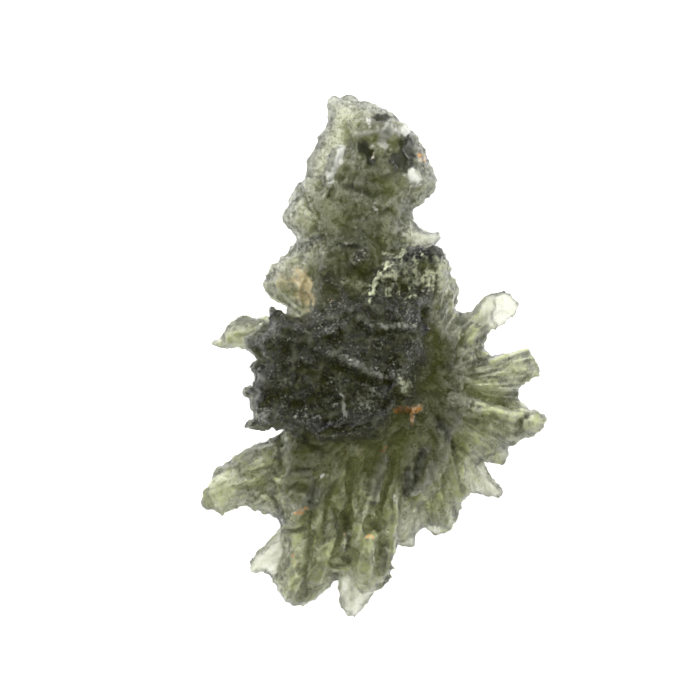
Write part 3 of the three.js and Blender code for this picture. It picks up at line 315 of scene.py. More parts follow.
# Flutes run out from the fan's centre. They are in full from 6 mm out, and few reach the head.
FAN_CENTRE = (2.4, -2.2)
FAN_OUT = (2, 6)
BELOW_HEAD = (10, 7)
FLUTE_DEEP = 0.20
FLUTES = (8, 0.35)
FLUTES_RISE = 0.5
FLUTES_ON_HEAD = 0.2
# Creases lie all over, coarse and fine, so many to a millimetre.
CREASE_DEEP = 0.16
CREASES = (0.75, 0.9, 0.75)
CREASES_LOST_IN_FLUTES = 0.5
CREASE_FINE_DEEP = 0.10
CREASES_FINE = 1.9
# Chips are flat breaks: the large ones are on the lump only, and small ones are everywhere.
CHIP = 1.7
CHIP_STEEP = 0.38
CHIP_FINE = 0.8
CHIP_FINE_STEEP = 0.24
CHIP_FINE_BELOW = 0.3
CHIP_SPREAD = 7.3
CHIP_WOBBLE = 2
LUMP_UP = (4.5, 6.5)
# The relief is shallow where the glass is thin, and rims that stand upright are ragged.
DEEP_ENOUGH = 3.5
THIN_LEAST = 0.04
JUST_INSIDE = 0.02 * MM
RIM_RAGGED = 0.16
RIM_TEETH = (1.7, 1.7, 0.6)
RIM_SLOPE = (0.65, 0.15)
SEED = 7


def read(attribute):
    """The skin's places or normals, one row for each point."""
    values = np.empty(len(stone.data.vertices) * 3)
    stone.data.vertices.foreach_get(attribute, values)
    return values.reshape(-1, 3)


def crested(where, offset=0):
    """Sharp crests, at 0.4, and round troughs, down to about -1."""
    shift = Vector((offset, 0, 0))
    return np.array([0.4 - 2 * abs(noise.noise(Vector(point) + shift)) for point in where])


def chipped(where, size, offset):
    """Flat chips, each tilted its own way, as the skin of broken glass has: height over size."""
    shift = Vector((offset, 0, 0))
    heights = np.empty(len(where))
    for i, point in enumerate(where / size):
        here = Vector(point) + shift
        middle = noise.voronoi(here)[1][0]
        heights[i] = noise.noise_vector(middle * CHIP_SPREAD).dot(here - middle)
    return heights


def rising(values, start, end, least=0):
    """The least up to start, 1 from end on, and an even change between them."""
    return np.clip((values - start) / (end - start), least, 1)


def wandering(by, per_mm):
    """A small step in mm for each point, so that no drawn line runs smooth."""
    return np.array([noise.noise_vector(Vector(point) * per_mm) for point in points]) * by


def nearness(where, line, half_width):
    """1 on a line drawn in plan, falling to 0 at its half width, and less towards its two ends."""
    best = np.zeros(len(where))
    spans = len(line) - 1
    for i, (start, end) in enumerate(zip(line, line[1:])):
        along = np.subtract(end, start)
        share = np.clip((where[:, :2] - start) @ along / (along @ along), 0, 1)
        away = np.hypot(*(where[:, :2] - start - share[:, None] * along).T)
        done = (i + share) / spans
        ends = np.minimum(1, LINE_END + 4 * done * (1 - done))
        best = np.maximum(best, ends * np.clip(1 - away / half_width, 0, 1))
    return best


def faces_up():
    """1 on the side that faces up, and 0 from upright on."""
    return np.clip(read("normal")[:, 2] * UP_SHARPNESS, 0, 1)


def from_fan_centre():
    """How far each point lies from the fan's centre in plan, and in which direction."""
    x, y = (points[:, :2] - FAN_CENTRE).T
    return np.hypot(x, y), np.arctan2(y, x)


def along_flutes(across, along):
    """Places that change fast across the fan's flutes and slowly along them."""
    out, turn = from_fan_centre()
    lift = out * along + points[:, 2] * FLUTES_RISE
    return np.stack([np.cos(turn) * across, np.sin(turn) * across, lift], axis=1)


def glass_behind():
    """How thick the glass is behind each point of the skin, in mm."""
    tree = BVHTree.FromObject(stone, bpy.context.evaluated_depsgraph_get())
    distances = []
    for point, normal in zip(points, normals):
        inwards = Vector(-normal)
        start = Vector(point) * MM + inwards * JUST_INSIDE
        distances.append(tree.ray_cast(start, inwards)[3] or 0)
    return np.array(distances) / MM


noise.seed_set(SEED)
points = read("co") / MM
normals = read("normal")
thickness = glass_behind()
wobble = wandering(WOBBLE, WOBBLES)
stroked = np.zeros(len(points))
for line, half_width, height in STROKES:
    near_line = nearness(points + wobble, line, half_width)
    domed = half_width > DOMED_FROM and height > 0
    stroked += height * (near_line * (2 - near_line) if domed else near_line)

out, _ = from_fan_centre()
fluted = rising(out, *FAN_OUT) * rising(points[:, 1], *BELOW_HEAD, FLUTES_ON_HEAD)
blocky = rising(points[:, 2], *LUMP_UP)
warped = points + wobble * CHIP_WOBBLE
relief = FLUTE_DEEP * fluted * crested(along_flutes(*FLUTES))
relief += CREASE_DEEP * (1 - CREASES_LOST_IN_FLUTES * fluted) * crested(points * CREASES, offset=5)
relief += CREASE_FINE_DEEP * crested(points * CREASES_FINE, offset=9)
relief += CHIP_STEEP * CHIP * blocky * chipped(warped, CHIP, offset=3)
fine_chips = CHIP_FINE_BELOW + (1 - CHIP_FINE_BELOW) * blocky
relief += CHIP_FINE_STEEP * CHIP_FINE * fine_chips * chipped(warped, CHIP_FINE, offset=11)
relief += stroked * faces_up() * np.where(blocky > 0.5, STROKES_ON_LUMP, 1)
relief *= np.clip(thickness / DEEP_ENOUGH, THIN_LEAST, 1)
sideways = rising(np.abs(normals[:, 2]), *RIM_SLOPE)
relief += RIM_RAGGED * sideways * crested(points * RIM_TEETH, offset=21)

worked = read("co") + normals * (relief * MM)[:, None]
worked[:, 2] = np.maximum(worked[:, 2], 0)
stone.data.vertices.foreach_set("co", worked.ravel())
stone.data.update()
bpy.ops.object.shade_smooth()

# Where the colours lie on the side that faces up: x and y in mm along each line, then half its
# width, and how strong it is. Rust and ochre are stains left by the ground, frost is the white of
# broken glass and on the lump a painted sheen, strands are pale fibres, and the shade lines are
# painted shade in hollows, grooves and notches, under the lump's edge and along rims.
RUST = [
    ([(1.6, -3.7), (2.1, -3.8)], 0.5, 1.0),
    ([(2.2, -3.9), (3.6, -3.7)], 0.55, 1.0),
    ([(2.6, -3.8), (2.8, -4.9)], 0.35, 1.0),
    ([(2.2, -4.2), (2.3, -5.8)], 0.25, 0.5),
    ([(-5.6, -11.4), (-4.6, -10.8)], 0.4, 1.0),
    ([(-0.5, -13.0), (0.0, -12.9)], 0.4, 0.9),
    ([(-2.1, -12.4), (-1.9, -12.8)], 0.25, 0.8),
    ([(0.5, -6.9), (1.0, -6.4)], 0.3, 0.8),
    ([(-2.2, -6.5), (-1.8, -7.1)], 0.3, 0.5),
    ([(-5.8, -14.2), (-5.3, -15.0)], 0.25, 0.7),
    ([(-4.0, -11.4), (-4.3, -12.2)], 0.2, 0.6),
    ([(3.2, 14.5), (3.7, 13.8)], 0.4, 0.9),
    ([(3.3, 15.2), (3.5, 14.8)], 0.25, 0.5),
    ([(0.1, 14.6), (0.1, 14.0)], 0.15, 0.6),
    ([(-3.3, 4.0), (-3.2, 3.7)], 0.2, 0.8),
    ([(1.5, -5.6), (1.2, -6.4)], 0.3, 0.5),
    ([(-0.9, -6.7), (-0.7, -6.9)], 0.2, 0.8),
]
OCHRE = [
    ([(-5.6, 6.2), (-4.9, 5.0), (-4.7, 3.6)], 0.9, 1.0),
    ([(-5.8, 5.6), (-5.6, 4.4)], 0.6, 0.7),
    ([(-6.6, 6.2), (-6.2, 4.6)], 1.0, 0.5),
    ([(-5.3, 9.8), (-4.8, 9.2)], 0.6, 0.4),
    ([(4.6, -9.0), (5.0, -8.4)], 0.4, 0.3),
]
# Frost is the white of broken glass; on the lump its streaks and broad patches are painted sheen.
FROST_AND_SHEEN = [
    # the head's broken brow, chips and folds
    ([(-1.3, 15.6), (-0.5, 15.9), (0.4, 15.9)], 0.35, 0.9),
    ([(0.2, 15.9), (1.2, 15.9), (2.0, 15.9), (2.7, 16.2)], 0.5, 1.0),
    ([(0.5, 15.5), (1.1, 14.8)], 0.45, 1.0),
    ([(-0.3, 17.2), (-0.3, 16.2)], 0.22, 0.8),
    ([(0.9, 16.6), (1.2, 16.0)], 0.4, 0.9),
    ([(0.1, 15.2), (0.1, 14.0)], 0.12, 0.8),
    ([(-2.1, 14.9), (-2.6, 13.8), (-3.2, 12.1)], 0.4, 1.1),
    ([(-2.6, 15.1), (-2.2, 15.0)], 0.2, 0.8),
    ([(2.7, 13.2), (2.9, 12.2)], 0.5, 1.1),
    ([(3.1, 12.7), (3.4, 12.3)], 0.25, 0.9),
    ([(2.4, 12.1), (1.7, 11.4), (1.0, 10.6)], 0.2, 0.5),
    ([(1.9, 10.6), (2.8, 10.8), (3.6, 11.2)], 0.14, 0.5),
    ([(0.8, 13.3), (2.0, 12.6)], 0.6, 0.35),
    ([(-3.6, 10.4), (-2.4, 10.8)], 0.5, 0.3),
    ([(-1.4, 9.2), (-1.2, 8.9)], 0.2, 0.8),
    ([(0.1, 11.3), (0.1, 9.5)], 0.1, 0.7),
    ([(-2.4, 7.8), (-2.4, 7.3)], 0.12, 0.7),
    ([(2.2, 7.4), (3.2, 7.8)], 0.3, 0.6),
    ([(-5.0, 6.6), (-4.6, 7.4)], 0.3, 0.4),
    ([(3.6, 3.4), (4.1, 3.6)], 0.3, 0.4),
    # the lump's chips, and its streaks and broad pale patches painted as sheen
    ([(-3.6, 0.5), (-2.0, -0.2), (-0.4, -1.0), (1.2, -1.7)], 0.45, 0.72),
    ([(-0.6, 2.3), (1.4, 2.1), (3.2, 2.0)], 0.4, 0.62),
    ([(-2.3, -2.4), (-2.1, -3.4), (-2.0, -4.5)], 0.22, 0.9),
    ([(-2.1, -2.4), (-2.0, -2.9)], 0.25, 0.4),
    ([(1.3, -2.2), (1.6, -3.2)], 0.2, 0.4),
    ([(-4.8, -4.4), (-4.6, -4.3)], 0.2, 0.9),
    ([(-6.4, -2.6), (-6.2, -2.6)], 0.15, 0.8),
    ([(-5.2, 1.7), (-4.9, 1.7)], 0.2, 0.7),
    ([(-5.2, -0.2), (-4.5, -0.6)], 0.4, 0.25),
    ([(2.6, 1.2), (3.0, 1.2)], 0.15, 0.6),
    ([(3.7, 1.0), (3.8, 0.2)], 0.12, 0.5),
    ([(-0.3, -1.2), (-0.6, -1.6)], 0.12, 0.6),
    ([(1.2, -1.3), (1.4, -1.3)], 0.15, 0.7),
    ([(-2.0, 2.6), (-0.8, 3.2)], 0.4, 0.2),
    ([(-1.0, -2.6), (0.4, -3.4)], 1.5, 0.52),
    ([(-8.6, -2.4), (-8.0, -3.8), (-7.8, -4.8)], 0.9, 0.5),
    ([(-6.8, -1.8), (-5.6, -2.6)], 1.0, 0.38),
    ([(-8.2, 1.2), (-6.8, 2.4)], 0.8, 0.42),
    ([(-5.0, -0.2), (-4.4, -0.6)], 0.5, 0.5),
    ([(-6.6, -4.2), (-4.0, -4.6), (-1.0, -4.6)], 0.7, 0.36),
    ([(-3.8, 3.6), (-0.6, 4.2)], 0.8, 0.34),
    # the skirt and the fan
    ([(-2.8, -6.8), (-1.9, -6.5), (-1.0, -6.9)], 0.6, 0.4),
    ([(0.7, -6.8), (0.9, -7.5)], 0.3, 0.7),
    ([(1.5, -9.8), (1.7, -10.6)], 0.22, 0.8),
    ([(-6.2, -7.1), (-4.2, -6.9)], 0.22, 0.4),
    ([(-7.0, -9.0), (-5.8, -9.0)], 0.15, 0.4),
    ([(-3.1, -10.4), (-3.4, -11.4)], 0.3, 0.3),
    ([(-5.0, -12.2), (-6.2, -12.6)], 0.3, 0.4),
    ([(-3.6, -8.4), (-3.5, -8.5)], 0.15, 0.9),
    ([(0.4, -8.2), (0.2, -10.4)], 0.3, 0.25),
    ([(3.8, -1.2), (3.7, -1.6)], 0.12, 0.7),
    ([(4.2, -4.4), (4.4, -5.6), (5.0, -6.6)], 0.35, 0.2),
    ([(9.4, -4.4), (9.8, -5.2)], 0.3, 0.3),
]
STRANDS = [
    # the crest's pale yellow-green fibres
    ([(1.1, 6.9), (0.7, 6.0), (0.1, 5.3), (0.0, 4.6), (-0.3, 3.8)], 0.24, 1.0),
    ([(1.2, 6.7), (1.6, 5.8), (1.9, 4.9), (1.9, 4.2)], 0.21, 1.0),
    ([(0.5, 5.6), (1.2, 5.7), (1.7, 5.4)], 0.19, 0.9),
    ([(1.4, 6.3), (1.5, 5.3)], 0.16, 0.8),
    ([(2.0, 7.4), (2.1, 6.6)], 0.16, 0.8),
    ([(2.9, 7.2), (3.1, 6.2), (3.0, 5.4)], 0.19, 0.9),
    ([(3.6, 7.3), (3.9, 6.2), (4.0, 4.9)], 0.21, 0.95),
    ([(4.3, 7.2), (4.7, 6.4), (4.9, 5.4), (4.7, 4.6)], 0.27, 1.0),
    ([(4.1, 6.1), (4.4, 5.4), (4.3, 4.6)], 0.19, 0.9),
    ([(-2.0, 5.2), (-0.8, 5.1), (0.0, 5.0)], 0.28, 0.6),
    ([(3.4, 5.8), (3.5, 4.8)], 0.16, 0.8),
    ([(2.4, 5.6), (2.6, 4.6)], 0.18, 0.8),
    ([(2.1, 3.9), (3.0, 4.4)], 0.24, 0.6),
    ([(0.9, 5.0), (1.2, 4.2)], 0.18, 0.8),
    ([(5.0, 7.0), (5.4, 6.2)], 0.2, 0.7),
    ([(-0.9, 4.4), (-0.2, 4.6)], 0.2, 0.6),
    ([(0.6, 7.2), (1.4, 7.3), (2.4, 7.7)], 0.24, 0.7),
    ([(5.2, 5.6), (5.4, 4.4)], 0.24, 0.7),
    ([(4.9, 6.6), (5.2, 4.6)], 0.6, 0.62),
    ([(1.5, 6.9), (2.4, 7.4)], 0.4, 0.6),
    ([(3.8, 5.6), (4.2, 4.4)], 0.5, 0.55),
    ([(0.4, 5.4), (2.2, 6.0), (4.4, 5.8)], 1.7, 0.5),
    ([(-2.4, 5.4), (-0.6, 4.8)], 1.0, 0.42),
    # the chip at the lump's right end
    ([(2.0, -1.7), (2.3, -2.6)], 0.7, 0.9),
]
# Painted shade: a dark colour laid where the glass only looks dark, in the head's hollows, in
# grooves and notches, under the lump's edge and along the rims of the pale tips.
PAINTED_SHADE = [
    # in the head's hollows
    ([(2.5, 15.5), (2.3, 14.2), (2.0, 13.3)], 0.9, 1.3),
    ([(1.2, 14.2), (2.8, 13.6)], 0.7, 1.2),
    ([(-1.0, 15.2), (-0.5, 14.7), (0.1, 13.8)], 0.6, 1.3),
    ([(0.1, 17.1), (1.0, 16.8)], 0.5, 1.2),
    ([(-2.2, 12.1), (-1.2, 12.0), (-0.2, 11.4)], 0.3, 0.8),
    ([(-3.0, 12.0), (-3.1, 11.2)], 0.35, 0.9),
    ([(-5.2, 12.1), (-5.0, 11.2), (-4.2, 10.3)], 0.35, 0.5),
    ([(0.8, 10.2), (1.3, 10.6)], 0.3, 0.9),
    ([(-2.7, 8.1), (-1.8, 7.8), (-0.9, 7.8)], 0.25, 0.9),
    ([(-3.6, 8.6), (-4.2, 8.3)], 0.4, 0.6),
    ([(-2.2, 16.5), (-1.4, 16.6)], 0.4, 0.4),
    ([(0.4, 8.1), (0.7, 8.0)], 0.3, 0.6),
    ([(-4.5, 6.4), (-4.4, 5.0), (-4.3, 3.4)], 0.4, 0.5),
    ([(-2.6, 5.8), (-0.4, 6.0)], 0.8, 0.4),
    # under the lump's edge and in the skirt's notches
    ([(-5.8, -5.5), (-4.4, -6.4), (-3.4, -7.0)], 0.5, 0.8),
    ([(-3.4, -5.9), (-1.0, -6.0), (0.4, -5.6)], 0.35, 0.8),
    ([(-6.4, -6.0), (-6.6, -7.2), (-6.4, -8.4)], 0.45, 0.7),
    ([(-6.8, -9.6), (-5.4, -9.4), (-4.0, -9.8)], 0.45, 0.6),
    ([(-2.4, -14.9), (-1.5, -14.5)], 0.5, 1.0),
    ([(-0.2, -12.0), (0.5, -12.1)], 0.35, 1.0),
    ([(-4.9, -15.8), (-4.8, -17.0)], 0.4, 0.9),
    ([(-6.2, -16.6), (-5.6, -17.2)], 0.35, 0.6),
    ([(-1.9, -11.0), (-1.8, -12.4), (-1.7, -13.8)], 0.4, 0.8),
    ([(-4.4, -9.4), (-4.6, -11.4), (-4.6, -13.4)], 0.35, 0.6),
    ([(-1.5, -7.4), (-1.7, -9.4), (-1.8, -11.0)], 0.35, 0.65),
    ([(1.5, -7.2), (1.0, -8.8), (0.4, -11.2)], 0.4, 0.75),
    ([(2.6, -9.0), (2.0, -10.6)], 0.5, 0.5),
    ([(3.7, -6.6), (3.2, -8.8), (2.6, -10.0)], 0.5, 0.65),
    ([(4.5, -4.2), (5.6, -6.4), (6.2, -8.0)], 0.35, 0.75),
    ([(-1.2, -12.8), (-1.2, -14.2)], 0.3, 0.5),
    ([(-3.0, -9.0), (-3.2, -10.6)], 0.3, 0.5),
    ([(5.0, -9.0), (4.2, -10.4)], 0.4, 0.4),
    ([(6.2, -8.8), (6.5, -9.7)], 0.4, 0.8),
    ([(-0.3, -16.8), (0.6, -16.4)], 0.3, 0.6),
    ([(7.2, -2.7), (8.4, -3.2), (9.8, -3.9)], 0.3, 0.6),
    ([(7.7, 1.4), (7.6, 0.2), (8.4, -0.8)], 0.3, 0.8),
    ([(5.9, 1.4), (5.6, 0.0), (5.4, -1.6)], 0.4, 0.5),
    ([(10.4, -4.7), (10.8, -5.0)], 0.3, 1.0),
    ([(10.9, -4.3), (11.2, -4.5)], 0.22, 1.0),
    ([(10.0, -1.2), (11.4, -1.3)], 0.2, 0.7),
    ([(6.8, -4.6), (7.6, -4.8)], 0.25, 0.6),
    ([(-8.0, -10.2), (-7.0, -10.8)], 0.4, 0.6),
    # thin dark lines on the pale tips
    ([(8.7, 4.0), (8.6, 3.0), (8.8, 2.1)], 0.22, 1.0),
    ([(7.3, 3.0), (7.7, 3.8), (8.2, 4.3)], 0.22, 0.9),
    ([(8.3, 4.3), (9.4, 4.6), (10.1, 4.4), (10.5, 3.6)], 0.2, 0.9),
    ([(10.5, 3.4), (10.1, 2.7), (9.5, 2.3)], 0.2, 0.8),
    ([(-9.9, 2.4), (-9.2, 2.7), (-8.4, 2.5)], 0.35, 1.0),
    ([(-10.8, 1.5), (-10.2, 2.2)], 0.2, 0.7),
    ([(-2.3, -17.2), (-1.9, -18.4), (-1.3, -18.8)], 0.2, 0.7),
    ([(-0.6, -18.3), (-0.2, -17.7)], 0.2, 0.7),
    ([(-1.6, -16.4), (-1.4, -17.6)], 0.25, 0.6),
    ([(-8.6, -15.4), (-7.8, -15.4), (-7.0, -15.7)], 0.2, 0.7),
    ([(-6.6, -13.2), (-7.4, -13.5), (-8.1, -14.4)], 0.2, 0.7),
    ([(-6.0, -12.9), (-6.3, -14.6)], 0.35, 0.7),
]

# What the material needs to know of each point: how far it stands out, how thick the glass is
# there, and which lines lie over it.
FLOW = (10, 0.3)
RAGGED = 0.3
RAGS = 2.2
LINE_SPREAD = 1.6
FINE_ROUNDS = 10
FINE_FULL = 0.03
FINE_SHARE = 0.4
BROAD_ROUNDS = 120
BROAD_FULL = 0.35
THICK = 2.5
THICK_ROUNDS = 6
STRIPED_OUT = (3, 6)
STRIPED_BELOW_HEAD = (8, 4)
STRIPED_BELOW_LUMP = (7.4, 5.9)

points = read("co") / MM
normals = read("normal")
ragged = wandering(RAGGED, RAGS)
joined = np.empty(len(stone.data.edges) * 2, dtype=np.int64)
stone.data.edges.foreach_get("vertices", joined)
near, far = joined.reshape(-1, 2).T
neighbours = np.bincount(near, minlength=len(points)) + np.bincount(far, minlength=len(points))


def keep(name, values, kind="FLOAT", field="value"):
    """Keeps a value for each point in the mesh, where the material can read it."""
    attribute = stone.data.attributes.new(name, kind, "POINT")
    attribute.data.foreach_set(field, np.asarray(values, dtype=np.float32).ravel())


def painted(lines):
    """How strongly each point of the side that faces up is covered by lines with ragged edges."""
    amount = np.zeros(len(points))
    for line, half_width, strength in lines:
        covered = np.clip(LINE_SPREAD * nearness(points + ragged, line, half_width), 0, 1)
        amount = np.maximum(amount, strength * covered)
    return amount * faces_up()


def evened(values, rounds):
    """Each point's value averaged with its neighbours', over and over."""
    for _ in range(rounds):
        total = np.bincount(near, values[far], len(points))
        total += np.bincount(far, values[near], len(points))
        values = 0.5 * values + 0.5 * total / neighbours
    return values


def stands_out(rounds):
    """How far in mm a point stands out from the skin around it, or lies in it as a minus."""
    mean = np.stack([evened(axis, rounds) for axis in points.T], axis=1)
    return ((points - mean) * normals).sum(axis=1)


keep("flow", along_flutes(*FLOW), "FLOAT_VECTOR", "vector")
fine = evened(stands_out(FINE_ROUNDS), 1) / FINE_FULL
broad = stands_out(BROAD_ROUNDS) / BROAD_FULL
keep("relief", np.clip(FINE_SHARE * fine + (1 - FINE_SHARE) * broad, -1, 1))
keep("depth", evened(np.clip(thickness / THICK, 0, 1), THICK_ROUNDS))
out, _ = from_fan_centre()
outlying = rising(out, *STRIPED_OUT) * rising(points[:, 1], *STRIPED_BELOW_HEAD)
keep("striped", outlying * rising(points[:, 2], *STRIPED_BELOW_LUMP))
lines_of = {"rust": RUST, "ochre": OCHRE, "frost_and_sheen": FROST_AND_SHEEN, "strands": STRANDS, "painted_shade": PAINTED_SHADE}
for name, lines in lines_of.items():
    keep(name, painted(lines))

# Its glass, satin from etching: the skin blurs what shines through it, and the body takes out
# more blue than green or red, so it turns from clear to olive with thickness.
INDEX = 1.49
SHINE = 0.25
COAT_ROUGH = 0.12
BODY_TINT = (0.42, 0.44, 0.03)
BODY_DENSITY = 415

glass = bpy.data.materials.new("moldavite_glass")
glass.use_nodes = True
nodes, links = glass.node_tree.nodes, glass.node_tree.links
shader = nodes["Principled BSDF"]
shader.inputs["IOR"].default_value = INDEX
shader.inputs["Specular Tint"].default_value = (SHINE, SHINE, SHINE, 1)
shader.inputs["Coat IOR"].default_value = INDEX
shader.inputs["Coat Roughness"].default_value = COAT_ROUGH
inside = nodes.new("ShaderNodeVolumeAbsorption")
inside.inputs["Color"].default_value = (*BODY_TINT, 1)
inside.inputs["Density"].default_value = BODY_DENSITY
links.new(inside.outputs[0], nodes["Material Output"].inputs["Volume"])


def node(kind, settings=None, **wires):
    """A node whose sockets are wired to other sockets or set to plain values."""
    made = nodes.new("ShaderNode" + kind)
    for key, value in (settings or {}).items():
        setattr(made, key, value)
    for key, value in wires.items():
        numbered = key[1:].isdigit()
        socket = made.inputs[int(key[1:]) if numbered else key]
        if isinstance(value, bpy.types.NodeSocket):
            links.new(value, socket)
        else:
            socket.default_value = value
    return made


def kept(name, output="Fac"):
    """What the mesh keeps under a name for each point."""
    return node("Attribute", {"attribute_name": name}).outputs[output]


def noise_at(where, scale, detail, roughness=0.55):
    """Soft noise around 0.5."""
    made = node("TexNoise", Vector=where, Scale=scale, Detail=detail, Roughness=roughness)
    return made.outputs["Fac"]


def ridges_at(where, scale, detail, roughness=0.5):
    """Sharp crests with round troughs between them."""
    settings = {"noise_type": "RIDGED_MULTIFRACTAL"}
    made = node("TexNoise", settings, Vector=where, Scale=scale, Detail=detail, Roughness=roughness)
    return made.outputs["Fac"]


def blend(amount, low, high):
    """From low, where the amount is 0, to high, where it is 1."""
    return node("MapRange", Value=amount, i1=0.0, i2=1.0, i3=low, i4=high).outputs[0]


def ramp(value, start, end):
    """0 up to start and 1 from end on."""
    return node("MapRange", Value=value, i1=start, i2=end, i3=0.0, i4=1.0).outputs[0]


def math_of(operation, a, b):
    return node("Math", {"operation": operation}, i0=a, i1=b).outputs[0]


def times(a, b):
    return math_of("MULTIPLY", a, b)


def tint(amount, under, over):
    """Lays one colour over another."""
    made = node("Mix", {"data_type": "RGBA"}, i0=amount)
    for socket, value in ((made.inputs[6], under), (made.inputs[7], over)):
        if isinstance(value, bpy.types.NodeSocket):
            links.new(value, socket)
        else:
            socket.default_value = (*value, 1)
    return made.outputs[2]


def bump(height, deep, strength=1.0, **over):
    """Fine relief of the skin, so many mm deep, over any other."""
    return node("Bump", Height=height, Distance=deep * MM, Strength=strength, **over).outputs[0]


# Patterns that break up the skin: how fine each is to a millimetre, its detail and its roughness.
# Grains are finer on the lump than off it.
MOTTLE = (1.2, 4)
BLOTS = (1.8, 4, 0.65)
SPECKS = (4.5, 3, 0.7)
FINE_GRAINS = (5.5, 2, 0.6)
PATCHES = (0.6, 2)
STRIPES = (2.4, 4, 0.6)
GRAINS = (4.2, 6.5)
GRAINS_DETAIL = (4, 0.75)
LUMP_HEIGHT = (5.6, 7.4)
LUMP_BROKEN = (0.2, 0.5)

place = nodes.new("ShaderNodeTexCoord").outputs["Object"]
flow = kept("flow", "Vector")
in_mm = node("Mapping", Vector=place, Scale=(1 / MM, 1 / MM, 1 / MM)).outputs[0]
mottle = noise_at(in_mm, *MOTTLE)
specks = noise_at(in_mm, *SPECKS)
blots = noise_at(in_mm, *BLOTS)
fine_grains = noise_at(in_mm, *FINE_GRAINS)
stripes = noise_at(flow, *STRIPES)
height = node("SeparateXYZ", Vector=in_mm).outputs[2]
on_lump = times(ramp(height, *LUMP_HEIGHT), ramp(mottle, *LUMP_BROKEN))
grains = noise_at(in_mm, blend(on_lump, *GRAINS), *GRAINS_DETAIL)
depth = kept("depth")
striped = kept("striped")
pattern = node("Mix", {"data_type": "FLOAT"}, i0=striped, i2=grains, i3=stripes).outputs[0]

# Dark grains and stripes, stronger where the glass is thick, and painted shade that makes the
# troughs darker than what is around them.
GRAIN_TINT = (0.14, 0.16, 0.07)
DARK_PATTERN = (0.485, 0.40)
DARK_GRAINS = (0.42, 0.34)
DARK_GRAINS_BY_DEPTH = (0.1, 0.8)
DARK_FINE = (0.46, 0.36)
DARK_FINE_BY_DEPTH = (0.0, 1.1)
TROUGH_SHADE_TINT = (0.15, 0.165, 0.08)
TROUGH = (0.1, -0.8)
TROUGH_BY_DEPTH = (0.4, 1.0)
LESS_STRIPED = 0.7

less_striped = blend(striped, 1.0, LESS_STRIPED)
dark = times(ramp(pattern, *DARK_PATTERN), times(depth, less_striped))
for darker, by_depth in (
    (ramp(grains, *DARK_GRAINS), DARK_GRAINS_BY_DEPTH),
    (ramp(fine_grains, *DARK_FINE), DARK_FINE_BY_DEPTH),
):
    dark = math_of("MAXIMUM", dark, times(darker, blend(depth, *by_depth)))
stands = kept("relief")
# Painted shade in the troughs, where the skin lies in from what is around it.
trough_shade = times(times(ramp(stands, *TROUGH), less_striped), blend(depth, *TROUGH_BY_DEPTH))

# Crests paler in part from wear and in part as painted highlight, and pale grains: thin glass
# shows none, and the lump's dark glass only its grains.
CREST_TINT = (0.82, 0.85, 0.66)
CREST_OLIVE = (0.68, 0.73, 0.37)
CREST = (0.2, 1.0)
CREST_BROKEN = (0.3, 0.6)
CREST_DEPTH = (0.2, 0.75)
CREST_CLOUDED = 0.3
PALE_PATTERN = (0.52, 0.60)
PALE_BY_STRIPES = (0.5, 0.55)
PALE_ON_LUMP = 0.15
PALE_FINE = (0.56, 0.66)
PALE_FINE_BY_LUMP = (0.5, 0.75)
PALE_PATCHES = (0.35, 0.6)
PALE_DEPTH = (0.1, 0.5)

# Crests painted paler where the skin stands out: part wear, part painted highlight.
crest = times(ramp(stands, *CREST), ramp(mottle, *CREST_BROKEN))
crest = times(crest, blend(on_lump, 1.0, 0.0))
crest = times(crest, ramp(depth, *CREST_DEPTH))
pale = times(ramp(pattern, *PALE_PATTERN), blend(striped, *PALE_BY_STRIPES))
pale = times(pale, blend(on_lump, 1.0, PALE_ON_LUMP))
fine_pale = times(ramp(fine_grains, *PALE_FINE), blend(on_lump, *PALE_FINE_BY_LUMP))
patches = ramp(noise_at(in_mm, *PATCHES), *PALE_PATCHES)
pale = times(math_of("MAXIMUM", pale, times(fine_pale, patches)), ramp(depth, *PALE_DEPTH))
crest_tint = tint(striped, CREST_TINT, CREST_OLIVE)

# The drawn lines: painted shade, pale strands, frost with painted sheen on the lump, ochre and rust
# stains. A colour is followed by where its ragged edge starts and ends, and by how far it clouds the
# glass.
LUMP_TINT = (0.015, 0.015, 0.018)
SHADE_TINT = (0.012, 0.014, 0.006)
SHADE_EDGE = (0.15, 0.9)
SHADE_BREAKS = 1.5
SHADE_STRIPED = 0.72
STRAND_TINT = (0.80, 0.84, 0.56)
STRAND_EDGE = (0.35, 0.8)
STRAND_BREAKS = 1.1
STRAND_CLOUDED = 0.75
FROST_AND_SHEEN_TINT = (0.90, 0.91, 0.82)
FROST_AND_SHEEN_EDGE = (0.45, 0.8)
FROST_AND_SHEEN_CLOUDED = 0.9
FROST_AND_SHEEN_ON_LUMP = 0.5
OCHRE_TINT = (0.70, 0.58, 0.32)
OCHRE_EDGE = (0.3, 0.9)
OCHRE_CLOUDED = 0.5
RUST_TINT = (0.92, 0.44, 0.10)
PEACH_TINT = (0.95, 0.76, 0.55)
PEACH_BLOTS = (0.5, 0.62)
RUST_EDGE = (0.65, 1.0)
RUST_CLOUDED = 0.9
BREAKS = 2.2
LINE_FADES = 0.15


# Ragged-edged masks for the drawn lines: stains and frost, and also painted shade and painted sheen.
def broken_edged(name, breaks, edge, by=BREAKS):
    """Drawn lines whose edges are broken up by noise."""
    drawn = kept(name)
    broken = times(math_of("SUBTRACT", breaks, 0.5), by)
    return times(ramp(math_of("ADD", drawn, broken), *edge), ramp(drawn, 0.0, LINE_FADES))


# Painted shade along the shade lines, lighter where the skin is striped.
painted_shade = times(broken_edged("painted_shade", blots, SHADE_EDGE, SHADE_BREAKS), blend(striped, 1.0, SHADE_STRIPED))
strands = broken_edged("strands", fine_grains, STRAND_EDGE, STRAND_BREAKS)
